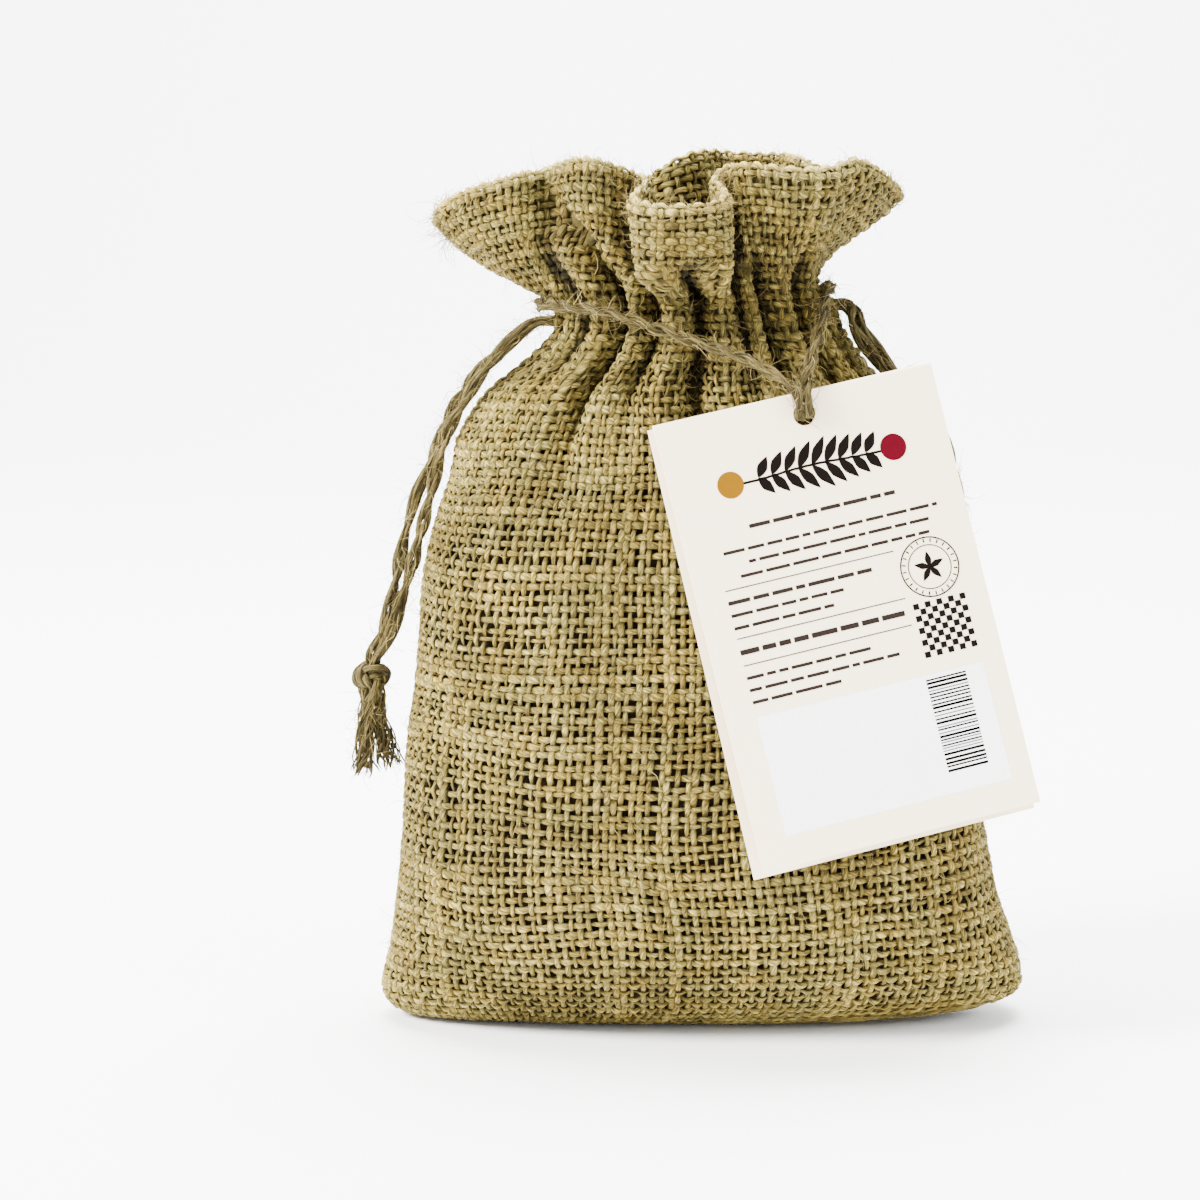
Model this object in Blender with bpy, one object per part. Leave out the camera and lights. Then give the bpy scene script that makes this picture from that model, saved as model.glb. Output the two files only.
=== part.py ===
"""A filled drawstring pouch of plain-woven jute, standing on its base, with a folded hang tag.

Metres, +Z up. The origin is the middle of the base, on the surface that the pouch stands on.
The front faces -Y. Heights and widths in the tables are millimetres, and MM turns them to metres.
"""

import math

import bmesh
import bpy
import numpy as np
from mathutils import Matrix, Vector
from mathutils.bvhtree import BVHTree

MM = 0.001
GAP = 0.35  # kept between neighbours, mm

# The cloth round the pouch
PLEATS = 17
COLUMNS_PER_PLEAT = 6
CLOTH = 1.5  # one layer, mm
PLEATED_WALL = 2.4  # measured towards the axis, where the flanks of the pleats are steep
PLEATED_FROM, PLEATED_TO = 118.0, 140.0  # heights between which the wall goes from one to the other
HEM_HALF = 1.05  # half the doubled cloth of the hem
HEM_ROUND = 0.8  # height of the rounded fold along the rim
BASE_CLOTH = 1.6

# Height, half width to the right, half width to the left, half depth, pleat depth
OUTSIDE = (
    (0.0, 36.0, 60.5, 10.0, 0.0),
    (1.5, 56.0, 64.7, 14.5, 0.0),
    (5.0, 66.8, 67.4, 20.0, 0.0),
    (9.5, 68.2, 67.3, 25.2, 0.0),
    (16.5, 66.5, 65.5, 30.6, 0.0),
    (28.0, 63.0, 64.1, 34.6, 0.0),
    (48.0, 59.8, 62.3, 36.0, 0.0),
    (70.0, 58.8, 60.2, 35.2, 0.0),
    (90.0, 57.6, 58.3, 33.6, 0.0),
    (104.0, 55.0, 55.3, 31.2, 0.2),
    (115.0, 52.0, 51.9, 28.9, 0.7),
    (122.5, 49.9, 50.4, 27.2, 1.4),
    (128.0, 46.4, 47.7, 25.8, 2.2),
    (132.5, 41.2, 44.4, 24.4, 3.0),
    (136.5, 36.6, 39.4, 22.8, 3.8),
    (140.5, 33.4, 34.4, 21.0, 4.6),
    (145.0, 30.4, 30.8, 19.2, 5.4),
    (149.5, 28.8, 30.4, 18.2, 5.8),
)
SKIPPED_INSIDE = (0.0, 1.5, 16.5, 90.0)
BODY_POWER, NECK_POWER = 2.4, 2.0  # how square the outline is from above: 2 is an ellipse
POWER_FROM, POWER_TO = 100.0, 145.0
FILLING_COLUMNS = 40
FILLING_SLACK = 3 * GAP + 0.5  # between the filling and the cloth's inner face
FILLING_UP_TO = 124.0  # above this height the filling only domes over to its top
FILLING_TOP = (126.0, 30.0, 31.0, 14.0, 0.0)  # as a row of OUTSIDE

# The rim of the ruffle, seen from above: right tip, along the front to the left tip, then the back
RIM = (
    (40.7, 0.0, 173.0),
    (37.0, -8.5, 176.4),
    (31.8, -15.0, 179.0),
    (26.5, -18.5, 177.8),
    (18.0, -20.5, 177.6),
    (10.9, -20.5, 178.2),
    (6.8, -17.5, 178.0),
    (4.6, -14.0, 177.4),
    (3.8, -19.5, 175.2),
    (5.6, -26.0, 172.4),
    (3.2, -31.0, 171.0),
    (-3.9, -32.6, 170.4),
    (-10.8, -31.6, 170.8),
    (-13.6, -26.4, 171.8),
    (-11.2, -19.6, 174.8),
    (-13.0, -14.4, 176.8),
    (-16.6, -17.4, 177.8),
    (-20.0, -20.2, 179.0),
    (-24.2, -19.5, 179.4),
    (-28.0, -14.5, 178.8),
    (-30.4, -9.5, 178.0),
    (-33.6, -11.0, 177.2),
    (-37.6, -13.2, 176.2),
    (-43.6, -12.4, 173.8),
    (-49.8, -8.4, 170.8),
    (-54.4, -0.6, 167.0),
    (-51.4, 7.4, 169.0),
    (-45.0, 12.6, 171.6),
    (-37.2, 13.6, 173.4),
    (-30.6, 10.6, 174.6),
    (-26.4, 16.4, 173.8),
    (-20.4, 23.4, 173.0),
    (-12.6, 24.4, 174.2),
    (-7.2, 18.2, 177.4),
    (-2.2, 20.4, 179.8),
    (4.0, 26.4, 180.2),
    (12.6, 28.4, 180.0),
    (18.8, 24.4, 179.8),
    (22.4, 17.4, 178.6),
    (27.6, 17.6, 175.6),
    (34.0, 18.2, 172.6),
    (39.2, 12.0, 171.8),
    (41.4, 5.6, 172.2),
)
RUFFLE_STEPS = (0.12, 0.27, 0.45, 0.65, 0.84, 1.0)
PLEATS_FADE_BY = 0.62  # share of the ruffle's height by which the neck's pleats have opened out
RUFFLE_SWELL, LEFT_SWELL = 1.6, 3.4  # how far the flutes bulge out halfway up
RIGHT_WAIST = 11.0  # the cloth draws in above the right slit before it spreads to its tip

# Drawstrings: one cord each, out of a slit in the side of the neck
CORD = 2.3
SLIT_HALF_DEPTH, SLIT_HALF_HEIGHT = 3.6, 1.9
SLIT_REACH = (13.0, 36.0)  # from the axis
LEFT_SLIT_HEIGHT, RIGHT_SLIT_HEIGHT = 146.6, 150.0
THROAT_LOOP = (18.0, 7.4)  # half width and half depth of the hidden loop
LOOP_OPENING = 16.0  # degrees either side of the slit where the loop's two ends leave it
LOOP_POINTS = 24
SLIT_RUN = ((26.0, 1.5), (21.5, 1.6))  # a strand inside the slit: from the axis, and to its side
STRAND_SPACING = 5.0
LEFT_FRONT_ROUTE = (
    (-33.5, -1.5, 146.6),
    (-36.8, -2.6, 144.2),
    (-41.6, -3.6, 139.8),
    (-46.6, -4.6, 133.6),
    (-50.0, -4.8, 128.0),
    (-52.4, -4.4, 123.4),
    (-54.4, -3.8, 116.8),
    (-56.4, -3.2, 108.8),
    (-59.4, -2.6, 98.0),
    (-62.4, -2.2, 88.2),
    (-65.4, -1.8, 80.4),
    (-67.7, -1.6, 76.0),
)
LEFT_BACK_ROUTE = (
    (-33.5, 1.5, 146.6),
    (-36.8, 1.4, 144.6),
    (-41.6, 1.2, 140.6),
    (-46.8, 0.9, 135.0),
    (-50.8, 0.6, 129.2),
    (-53.4, 0.4, 124.0),
    (-56.0, 0.3, 117.2),
    (-58.2, 0.2, 109.2),
    (-61.0, 0.2, 98.4),
    (-64.2, 0.3, 88.6),
    (-67.0, 0.4, 80.6),
    (-69.0, 0.6, 76.2),
)
LEFT_KNOT = (-68.8, -0.6, 71.6)
LEFT_TAILS = (
    ((-69.4, -1.6, 67.3), (-70.2, -1.8, 62.0), (-70.4, -2.0, 56.6), (-70.8, -2.2, 51.6)),
    ((-67.6, 0.6, 67.3), (-67.2, 0.8, 62.0), (-66.0, 0.8, 57.0), (-64.9, 0.8, 52.6)),
)
RIGHT_FRONT_ROUTE = (
    (30.4, -1.5, 150.0),
    (31.2, -4.0, 146.4),
    (34.2, -6.4, 141.4),
    (38.0, -8.4, 136.8),
    (42.4, -11.0, 130.6),
    (46.8, -14.4, 122.6),
    (49.4, -17.4, 112.8),
    (50.6, -19.8, 102.0),
    (51.8, -21.6, 91.0),
    (53.2, -23.2, 81.0),
    (54.2, -23.9, 74.0),
)
RIGHT_BACK_ROUTE = (
    (30.4, 1.5, 150.0),
    (32.8, -0.6, 147.0),
    (35.8, -2.8, 142.4),
    (39.4, -4.8, 137.2),
    (44.4, -7.8, 131.0),
    (49.8, -11.0, 123.0),
    (52.4, -13.8, 113.6),
    (53.6, -16.4, 102.4),
    (54.6, -18.6, 91.4),
    (55.4, -20.6, 81.4),
    (56.0, -22.2, 74.1),
)
RIGHT_KNOT = (55.3, -23.6, 69.6)
RIGHT_TAILS = (
    ((54.2, -24.2, 65.3), (53.8, -24.8, 60.0), (53.6, -25.4, 55.0), (53.4, -25.8, 50.2)),
    ((56.0, -22.5, 65.3), (56.5, -22.8, 60.0), (57.2, -23.2, 55.0), (57.5, -23.4, 51.0)),
)
KNOT_SIZE = (4.1, 3.9, 4.3)  # half sizes
TAIL = 2.0

# The tag: one card folded at the top, its two leaves a little open
TAG_WIDTH, TAG_HEIGHT, TAG_CARD = 58.0, 90.7, 0.4
TAG_CENTRE = (29.3, -36.0, 90.6)
TAG_YAW, TAG_LEAN, TAG_ROLL = 10.0, -12.0, -12.0
TAG_OPENING = 3.0  # angle between the leaves, degrees
TAG_FOLD_GAP = 0.5
TAG_HOLE_X, TAG_HOLE_Z, TAG_HOLE_RADIUS = 1.2, 40.7, 2.2
PUNCH_LENGTH = 12.0

# The tag's own string goes once round the neck, and both ends go through the hole to a knot.
# In the tag's frame, from behind it: away from its front face, and up from the hole
TAG_CORD = 1.7
TAG_CORD_SPACING = 2.6
TAG_CORD_LIFT = 0.2  # the thin string rides on top of the pleats
STRAND_HALF_STEP = 1.0
THROUGH_HOLE = ((1.75, -0.1), (0.7, -0.1), (-0.7, -0.1), (-1.7, 0.5), (-2.0, 2.4), (-2.1, 5.2))
TAG_STRING_ROUTE = (
    (15.0, -29.6, 137.4),
    (9.6, -27.4, 140.4),
    (3.2, -25.4, 142.6),
    (-3.0, -23.6, 144.6),
    (-9.6, -22.0, 146.8),
    (-16.4, -19.6, 148.8),
    (-22.6, -16.0, 150.0),
    (-28.0, -11.0, 150.2),
    (-32.0, -4.6, 150.8),
    (-32.8, 1.4, 151.4),
    (-30.6, 8.0, 151.6),
    (-24.6, 14.4, 151.4),
    (-16.0, 18.2, 151.2),
    (-6.0, 20.2, 151.0),
    (4.0, 20.0, 151.0),
    (14.0, 17.8, 151.2),
    (21.0, 13.4, 152.0),
    (25.0, 8.2, 153.0),
    (26.4, 2.0, 153.8),
    (26.4, -5.0, 153.4),
    (25.4, -11.6, 151.4),
    (24.6, -17.6, 148.0),
    (23.2, -22.6, 144.2),
    (21.9, -27.0, 139.6),
)
TAG_KNOT_BEHIND = 3.75  # from the tag's front face to the knot's middle
TAG_KNOT_SIZE = (2.6, 1.35, 2.2)


def clear_scene():
    for obj in list(bpy.data.objects):
        bpy.data.objects.remove(obj, do_unlink=True)


def collection(name):
    made = bpy.data.collections.new(name)
    bpy.context.scene.collection.children.link(made)
    return made


def material(name, colour, roughness):
    made = bpy.data.materials.new(name)
    made.use_nodes = True
    shader = made.node_tree.nodes["Principled BSDF"]
    shader.inputs["Base Color"].default_value = (*colour, 1.0)
    shader.inputs["Roughness"].default_value = roughness
    shader.inputs["Metallic"].default_value = 0.0
    return made


def smooth_curve(points, spacing, closed=False):
    """Points every spacing along a smooth curve through the given ones."""
    through = [Vector(p) for p in points]
    count = len(through)
    fine = []
    for i in range(count if closed else count - 1):
        a = through[(i - 1) % count] if closed else through[max(i - 1, 0)]
        b, c = through[i], through[(i + 1) % count]
        d = through[(i + 2) % count] if closed else through[min(i + 2, count - 1)]
        for step in range(12):
            t = step / 12
            fine.append(
                0.5
                * (
                    2 * b
                    + (c - a) * t
                    + (2 * a - 5 * b + 4 * c - d) * t**2
                    + (3 * b - a - 3 * c + d) * t**3
                )
            )
    fine.append(through[0] if closed else through[-1])
    fine = np.array([tuple(p) for p in fine])
    along = np.concatenate([[0], np.cumsum(np.linalg.norm(np.diff(fine, axis=0), axis=1))])
    pieces = max(int(round(along[-1] / spacing)), 2)
    wanted = np.linspace(0, along[-1], pieces + 1)
    return np.stack([np.interp(wanted, along, fine[:, k]) for k in range(3)], axis=1)


def evenly(points, count):
    """The closed run of points, read again at equal steps."""
    run = np.concatenate([points, points[:1]])
    along = np.concatenate([[0], np.cumsum(np.linalg.norm(np.diff(run, axis=0), axis=1))])
    wanted = np.arange(count) * along[-1] / count
    return np.stack([np.interp(wanted, along, run[:, k]) for k in range(run.shape[1])], axis=1)


def eased(value, low, high):
    share = min(max((value - low) / (high - low), 0.0), 1.0)
    return share * share * (3 - 2 * share)


def outline(right, left, depth, power, count):
    """An oval from above, from its right end past the front, in equal steps."""
    angle = np.linspace(0, 2 * math.pi, 1440, endpoint=False)
    cosine, sine = np.cos(angle), np.sin(angle)
    half_width = np.where(cosine > 0, right, left)
    x = half_width * np.sign(cosine) * np.abs(cosine) ** (2 / power)
    y = -depth * np.sign(sine) * np.abs(sine) ** (2 / power)
    return evenly(np.stack([x, y], axis=1), count)


def outward(ring):
    """Unit vectors, level with the floor, that point out of a clockwise ring."""
    along = np.roll(ring, -1, axis=0) - np.roll(ring, 1, axis=0)
    normal = np.stack([-along[:, 1], along[:, 0]], axis=1)
    return normal / np.linalg.norm(normal, axis=1)[:, None]


def pleat_wave(count):
    """0 on the crests and 1 in the creases, which are narrower. A crest stands at the right end."""
    phase = np.arange(count) * PLEATS / count
    crest = np.abs(np.cos(math.pi * (phase % 1.0)))
    return 1 - crest**0.8


def body_ring(row, count, inset):
    height, right, left, depth, pleat = row
    power = BODY_POWER + (NECK_POWER - BODY_POWER) * eased(height, POWER_FROM, POWER_TO)
    ring = outline(right, left, depth, power, count)
    inward = pleat * pleat_wave(count) + inset
    ring = ring - outward(ring) * inward[:, None]
    return np.column_stack([ring, np.full(count, height)])


def wall_at(height):
    return CLOTH + (PLEATED_WALL - CLOTH) * eased(height, PLEATED_FROM, PLEATED_TO)


def ruffle_ring(share, count, side):
    """One ring of the ruffle. side is 1 for the outer face of the cloth and -1 for the inner."""
    height, right, left, depth, pleat = OUTSIDE[-1]
    neck = outline(right, left, depth, NECK_POWER, count)
    neck_out = outward(neck)
    neck = neck - neck_out * PLEATED_WALL / 2
    rim = evenly(smooth_curve(RIM, 0.5, closed=True)[:-1], count)
    level = neck + (rim[:, :2] - neck) * share
    halfway = math.sin(math.pi * share)
    waist = max(math.sin(math.pi * share**0.72), 0.0) ** 1.6
    swell = halfway * (RUFFLE_SWELL + LEFT_SWELL * np.maximum(-neck[:, 0] / left, 0.0) ** 4)
    swell = swell - RIGHT_WAIST * waist * np.maximum(neck[:, 0] / right, 0.0) ** 3
    fade = max(1 - share / PLEATS_FADE_BY, 0.0) ** 1.4
    level = level + neck_out * (swell - pleat * fade * pleat_wave(count))[:, None]
    own_out = outward(level)
    turn = eased(share, 0.05, 0.5)
    out = neck_out * (1 - turn) + own_out * turn
    out = out / np.linalg.norm(out, axis=1)[:, None]
    half = PLEATED_WALL / 2 + (HEM_HALF - PLEATED_WALL / 2) * turn
    level = level + out * half * side
    return np.column_stack([level, height + (rim[:, 2] - height) * share])


def add_ring(bm, ring):
    return [bm.verts.new(Vector(p) * MM) for p in ring]


def join_rings(bm, low, high):
    """Triangles between two rings with as many points, each four split the same way."""
    count = len(low)
    for i in range(count):
        j = (i + 1) % count
        bm.faces.new((low[j], low[i], high[i]))
        bm.faces.new((low[j], high[i], high[j]))


def new_object(name, bm, holder, finish, smooth=True):
    mesh = bpy.data.meshes.new(name)
    bm.to_mesh(mesh)
    bm.free()
    made = bpy.data.objects.new(name, mesh)
    holder.objects.link(made)
    mesh.materials.append(finish)
    if smooth:
        mesh.shade_smooth()
    return made


def make_cloth(holder, finish):
    """The sewn cloth as one shell: base, body, pleated neck and ruffle, open at the top."""
    bm = bmesh.new()
    count = PLEATS * COLUMNS_PER_PLEAT
    outer = [add_ring(bm, body_ring(row, count, 0.0)) for row in OUTSIDE]
    outer += [add_ring(bm, ruffle_ring(share, count, 1)) for share in RUFFLE_STEPS]
    inner_rows = [(BASE_CLOTH, *OUTSIDE[1][1:])]
    inner_rows += [row for row in OUTSIDE if row[0] not in SKIPPED_INSIDE]
    inner = [add_ring(bm, body_ring(row, count, wall_at(row[0]))) for row in inner_rows]
    inner += [add_ring(bm, ruffle_ring(share, count, -1)) for share in RUFFLE_STEPS]
    middle = (ruffle_ring(1.0, count, 1) + ruffle_ring(1.0, count, -1)) / 2
    fold = add_ring(bm, middle + np.array([0.0, 0.0, HEM_ROUND]))
    for low, high in zip(outer, outer[1:] + [fold]):
        join_rings(bm, low, high)
    for low, high in zip(inner, inner[1:] + [fold]):
        join_rings(bm, high, low)
    bm.faces.new(outer[0])
    bm.faces.new(inner[0][::-1])
    bmesh.ops.recalc_face_normals(bm, faces=bm.faces)
    bmesh.ops.triangulate(bm, faces=[f for f in bm.faces if len(f.verts) > 4])
    return new_object("bag_cloth", bm, holder, finish)


def make_filling(holder, finish):
    """The packed contents, taken as one soft mass that the cloth is drawn over."""
    bm = bmesh.new()
    count = FILLING_COLUMNS
    rows = [(BASE_CLOTH + GAP, *OUTSIDE[1][1:])]
    rows += [row for row in OUTSIDE if row[0] < FILLING_UP_TO and row[0] not in SKIPPED_INSIDE]
    rings = []
    for height, right, left, depth, pleat in rows:
        inset = CLOTH + pleat + FILLING_SLACK
        flat = (height, right, left, depth, 0.0)
        rings.append(add_ring(bm, body_ring(flat, count, inset)))
    rings.append(add_ring(bm, body_ring(FILLING_TOP, count, 0.0)))
    for low, high in zip(rings, rings[1:]):
        join_rings(bm, low, high)
    bm.faces.new(rings[0])
    bm.faces.new(rings[-1][::-1])
    bmesh.ops.recalc_face_normals(bm, faces=bm.faces)
    bmesh.ops.triangulate(bm, faces=[f for f in bm.faces if len(f.verts) > 4])
    return new_object("filling", bm, holder, finish)


def cut_slit(cloth, cutters, side, height):
    """A slit through the side of the neck, where a drawstring comes out."""
    near, far = SLIT_REACH
    bm = bmesh.new()
    bmesh.ops.create_cube(bm, size=1.0)
    size = Vector((far - near, 2 * SLIT_HALF_DEPTH, 2 * SLIT_HALF_HEIGHT)) * MM
    bmesh.ops.scale(bm, vec=size, verts=bm.verts)
    middle = Vector((side * (near + far) / 2, 0.0, height)) * MM
    bmesh.ops.translate(bm, vec=middle, verts=bm.verts)
    mesh = bpy.data.meshes.new("slit_cutter")
    bm.to_mesh(mesh)
    bm.free()
    cutter = bpy.data.objects.new("slit_cutter", mesh)
    cutters.objects.link(cutter)
    cutter.hide_render = True
    cutter.display_type = "WIRE"
    cut = cloth.modifiers.new("slit", "BOOLEAN")
    cut.operation = "DIFFERENCE"
    cut.object = cutter


def evaluated_tree(obj):
    graph = bpy.context.evaluated_depsgraph_get()
    graph.update()
    return BVHTree.FromObject(obj.evaluated_get(graph), graph)


def kept_off(points, tree, radius):
    """The points, each moved out to where a cord of this radius lies on the cloth."""
    moved = []
    for p in points:
        place = Vector(p) * MM
        for _ in range(4):
            spot, normal, _, distance = tree.find_nearest(place)
            wanted = (radius + GAP + 0.1) * MM
            inside = (place - spot).dot(normal) < 0
            if not inside and distance >= wanted:
                break
            place = spot + (normal if inside else (place - spot).normalized()) * wanted
        moved.append(tuple(place / MM))
    return moved


def make_tube(name, points, diameter, holder, finish, ends=1.0):
    data = bpy.data.curves.new(name, "CURVE")
    data.dimensions = "3D"
    data.bevel_depth = diameter / 2 * MM
    data.bevel_resolution = 2
    data.use_fill_caps = True
    spline = data.splines.new("POLY")
    spline.points.add(len(points) - 1)
    for i, (knot, p) in enumerate(zip(spline.points, points)):
        knot.co = (*(c * MM for c in p), 1.0)
        knot.radius = 1.0 + (ends - 1.0) * i / (len(points) - 1)
    made = bpy.data.objects.new(name, data)
    holder.objects.link(made)
    data.materials.append(finish)
    return made


def throat_loop(side, height):
    """The hidden loop inside the neck, from one strand of the slit round to the other."""
    half_width, half_depth = THROAT_LOOP
    gate = math.radians(LOOP_OPENING)
    turns = np.linspace(gate, 2 * math.pi - gate, LOOP_POINTS)
    return [
        (side * half_width * math.cos(turn), -half_depth * math.sin(turn), height)
        for turn in turns
    ]


def make_drawstring(name, side, height, front, back, tree, holder, finish):
    """One cord: knot, front strand, slit, once round inside the neck, slit, back strand, knot."""
    inside = [(side * x, -y, height) for x, y in SLIT_RUN]
    hidden = inside + throat_loop(side, height) + [(x, -y, z) for x, y, z in inside[::-1]]
    front_run = kept_off(smooth_curve(front, STRAND_SPACING), tree, CORD / 2)
    back_run = kept_off(smooth_curve(back, STRAND_SPACING), tree, CORD / 2)
    route = smooth_curve(front_run[::-1] + hidden + back_run, CORD * 1.75)
    return make_tube(name, route, CORD, holder, finish)


def make_knot(name, place, size, holder, finish):
    """An overhand knot as one lump: a ball with two turns of cord raised round it."""
    bm = bmesh.new()
    bmesh.ops.create_uvsphere(bm, u_segments=16, v_segments=10, radius=1.0)
    for v in bm.verts:
        ridge = 0.5 + 0.5 * math.cos(3 * math.pi * v.co.z + 2.0 * v.co.x)
        v.co = v.co * (0.9 + 0.1 * ridge)
    bmesh.ops.scale(bm, vec=Vector(size) * MM, verts=bm.verts)
    made = new_object(name, bm, holder, finish)
    made.location = Vector(place) * MM
    return made


def tag_profile():
    """The card from its side: front leaf, fold at the top, back leaf, as one closed outline."""
    top, low = TAG_HEIGHT / 2, -TAG_HEIGHT / 2
    fold = TAG_FOLD_GAP / 2 + TAG_CARD
    swing = math.radians(TAG_OPENING)
    outer = [(0.0, low)]
    for step in range(9):
        turn = math.pi * step / 8
        outer.append((fold - fold * math.cos(turn), top - fold + fold * math.sin(turn)))
    length = TAG_HEIGHT - fold
    back = (2 * fold + length * math.sin(swing), top - fold - length * math.cos(swing))
    inner = [(back[0] - TAG_CARD * math.cos(swing), back[1] - TAG_CARD * math.sin(swing))]
    within = TAG_FOLD_GAP / 2
    for step in range(5):
        turn = math.pi * (1 - step / 4)
        inner.append((fold - within * math.cos(turn), top - fold + within * math.sin(turn)))
    return outer + [back] + inner + [(TAG_CARD, low)]


def tag_frame():
    """Where the tag lies: its yaw, its lean and its roll, then its place."""
    turned = (
        Matrix.Rotation(math.radians(TAG_YAW), 4, "Z")
        @ Matrix.Rotation(math.radians(TAG_LEAN), 4, "X")
        @ Matrix.Rotation(math.radians(TAG_ROLL), 4, "Y")
    )
    return Matrix.Translation(Vector(TAG_CENTRE) * MM) @ turned


def make_tag(holder, cutters, finish):
    """A card folded in two at the top, with a hole punched through both leaves."""
    bm = bmesh.new()
    corners = [bm.verts.new((-TAG_WIDTH / 2 * MM, y * MM, z * MM)) for y, z in tag_profile()]
    end = bm.faces.new(corners)
    grown = bmesh.ops.extrude_face_region(bm, geom=[end], use_keep_orig=True)
    moved = [item for item in grown["geom"] if isinstance(item, bmesh.types.BMVert)]
    bmesh.ops.translate(bm, vec=(TAG_WIDTH * MM, 0, 0), verts=moved)
    bmesh.ops.recalc_face_normals(bm, faces=bm.faces)
    tag = new_object("tag", bm, holder, finish, smooth=False)
    tag.matrix_world = tag_frame()
    bpy.ops.mesh.primitive_cylinder_add(
        vertices=24, radius=TAG_HOLE_RADIUS * MM, depth=PUNCH_LENGTH * MM, end_fill_type="NGON"
    )
    cutter = bpy.context.object
    cutter.name = "hole_cutter"
    for owner in list(cutter.users_collection):
        owner.objects.unlink(cutter)
    cutters.objects.link(cutter)
    hole = Matrix.Translation(Vector((TAG_HOLE_X, 1.0, TAG_HOLE_Z)) * MM)
    cutter.matrix_world = tag.matrix_world @ hole @ Matrix.Rotation(math.pi / 2, 4, "X")
    cutter.hide_render = True
    cutter.display_type = "WIRE"
    cut = tag.modifiers.new("hole", "BOOLEAN")
    cut.operation = "DIFFERENCE"
    cut.object = cutter
    return tag


def through_hole(side):
    """The points of one strand of the tag's string, from behind the tag to over its top edge."""
    across = TAG_HOLE_X + side * STRAND_HALF_STEP
    frame = tag_frame()
    return [
        tuple(frame @ (Vector((across, away, TAG_HOLE_Z + up)) * MM) / MM)
        for away, up in THROUGH_HOLE
    ]


def make_tag_string(tree, holder, finish):
    route = through_hole(-1) + list(TAG_STRING_ROUTE) + through_hole(1)[::-1]
    route = kept_off(smooth_curve(route, TAG_CORD_SPACING), tree, TAG_CORD / 2 + TAG_CORD_LIFT)
    make_tube("tag_string", route, TAG_CORD, holder, finish)
    behind = tag_frame() @ (Vector((TAG_HOLE_X, TAG_KNOT_BEHIND, TAG_HOLE_Z)) * MM)
    make_knot("tag_knot", behind / MM, TAG_KNOT_SIZE, holder, finish)


def make_side(word, side, height, routes, knot, tails, tree, holder, finish):
    """A drawstring with its knot and the knot's two frayed tails."""
    name = f"drawstring_{word}"
    make_drawstring(name, side, height, *routes, tree, holder, finish)
    make_knot(f"knot_{word}", knot, KNOT_SIZE, holder, finish)
    for letter, tail in zip("ab", tails):
        run = smooth_curve(tail, TAIL * 1.5)
        make_tube(f"tail_{word}_{letter}", run, TAIL, holder, finish, ends=1.3)


def main():
    clear_scene()
    parts = collection("jute_pouch")
    cutters = collection("cutters")
    jute = material("jute_cloth", (0.52, 0.38, 0.19), 0.95)
    twine = material("jute_twine", (0.36, 0.26, 0.12), 0.9)
    card = material("tag_card", (0.89, 0.85, 0.79), 0.6)
    contents = material("packed_contents", (0.10, 0.07, 0.04), 0.9)

    cloth = make_cloth(parts, jute)
    cut_slit(cloth, cutters, -1, LEFT_SLIT_HEIGHT)
    cut_slit(cloth, cutters, 1, RIGHT_SLIT_HEIGHT)
    make_filling(parts, contents)
    tree = evaluated_tree(cloth)
    left = (LEFT_FRONT_ROUTE, LEFT_BACK_ROUTE)
    right = (RIGHT_FRONT_ROUTE, RIGHT_BACK_ROUTE)
    make_side("left", -1, LEFT_SLIT_HEIGHT, left, LEFT_KNOT, LEFT_TAILS, tree, parts, twine)
    make_side("right", 1, RIGHT_SLIT_HEIGHT, right, RIGHT_KNOT, RIGHT_TAILS, tree, parts, twine)

    make_tag(parts, cutters, card)
    make_tag_string(tree, parts, twine)


main()
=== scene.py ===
import math

import bmesh
import bpy
import numpy as np
from mathutils import Matrix, Vector, noise
from mathutils.bvhtree import BVHTree
from mathutils.kdtree import KDTree


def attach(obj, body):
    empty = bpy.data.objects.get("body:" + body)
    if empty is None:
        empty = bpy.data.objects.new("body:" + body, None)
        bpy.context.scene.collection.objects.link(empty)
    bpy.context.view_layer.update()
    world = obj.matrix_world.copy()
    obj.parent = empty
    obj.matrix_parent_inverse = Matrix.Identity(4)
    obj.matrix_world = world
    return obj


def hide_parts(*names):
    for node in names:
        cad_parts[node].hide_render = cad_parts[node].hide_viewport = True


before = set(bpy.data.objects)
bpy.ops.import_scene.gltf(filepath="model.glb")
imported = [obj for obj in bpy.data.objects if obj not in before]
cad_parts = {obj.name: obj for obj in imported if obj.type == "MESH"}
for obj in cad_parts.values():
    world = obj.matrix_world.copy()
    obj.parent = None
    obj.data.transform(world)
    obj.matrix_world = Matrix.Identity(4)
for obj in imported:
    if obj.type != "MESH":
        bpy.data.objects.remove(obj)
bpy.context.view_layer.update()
mm = 0.001  # the tables below are in millimetres


# Small helpers

def distances(points, weights=1.0):  # from the first point to each one
    steps = np.linalg.norm(np.diff(points, axis=0) * np.asarray(weights), axis=1)
    return np.concatenate([[0], np.cumsum(steps)])


def readAt(wanted, along, points):
    return np.stack([np.interp(wanted, along, column) for column in points.T], axis=1)


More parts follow.
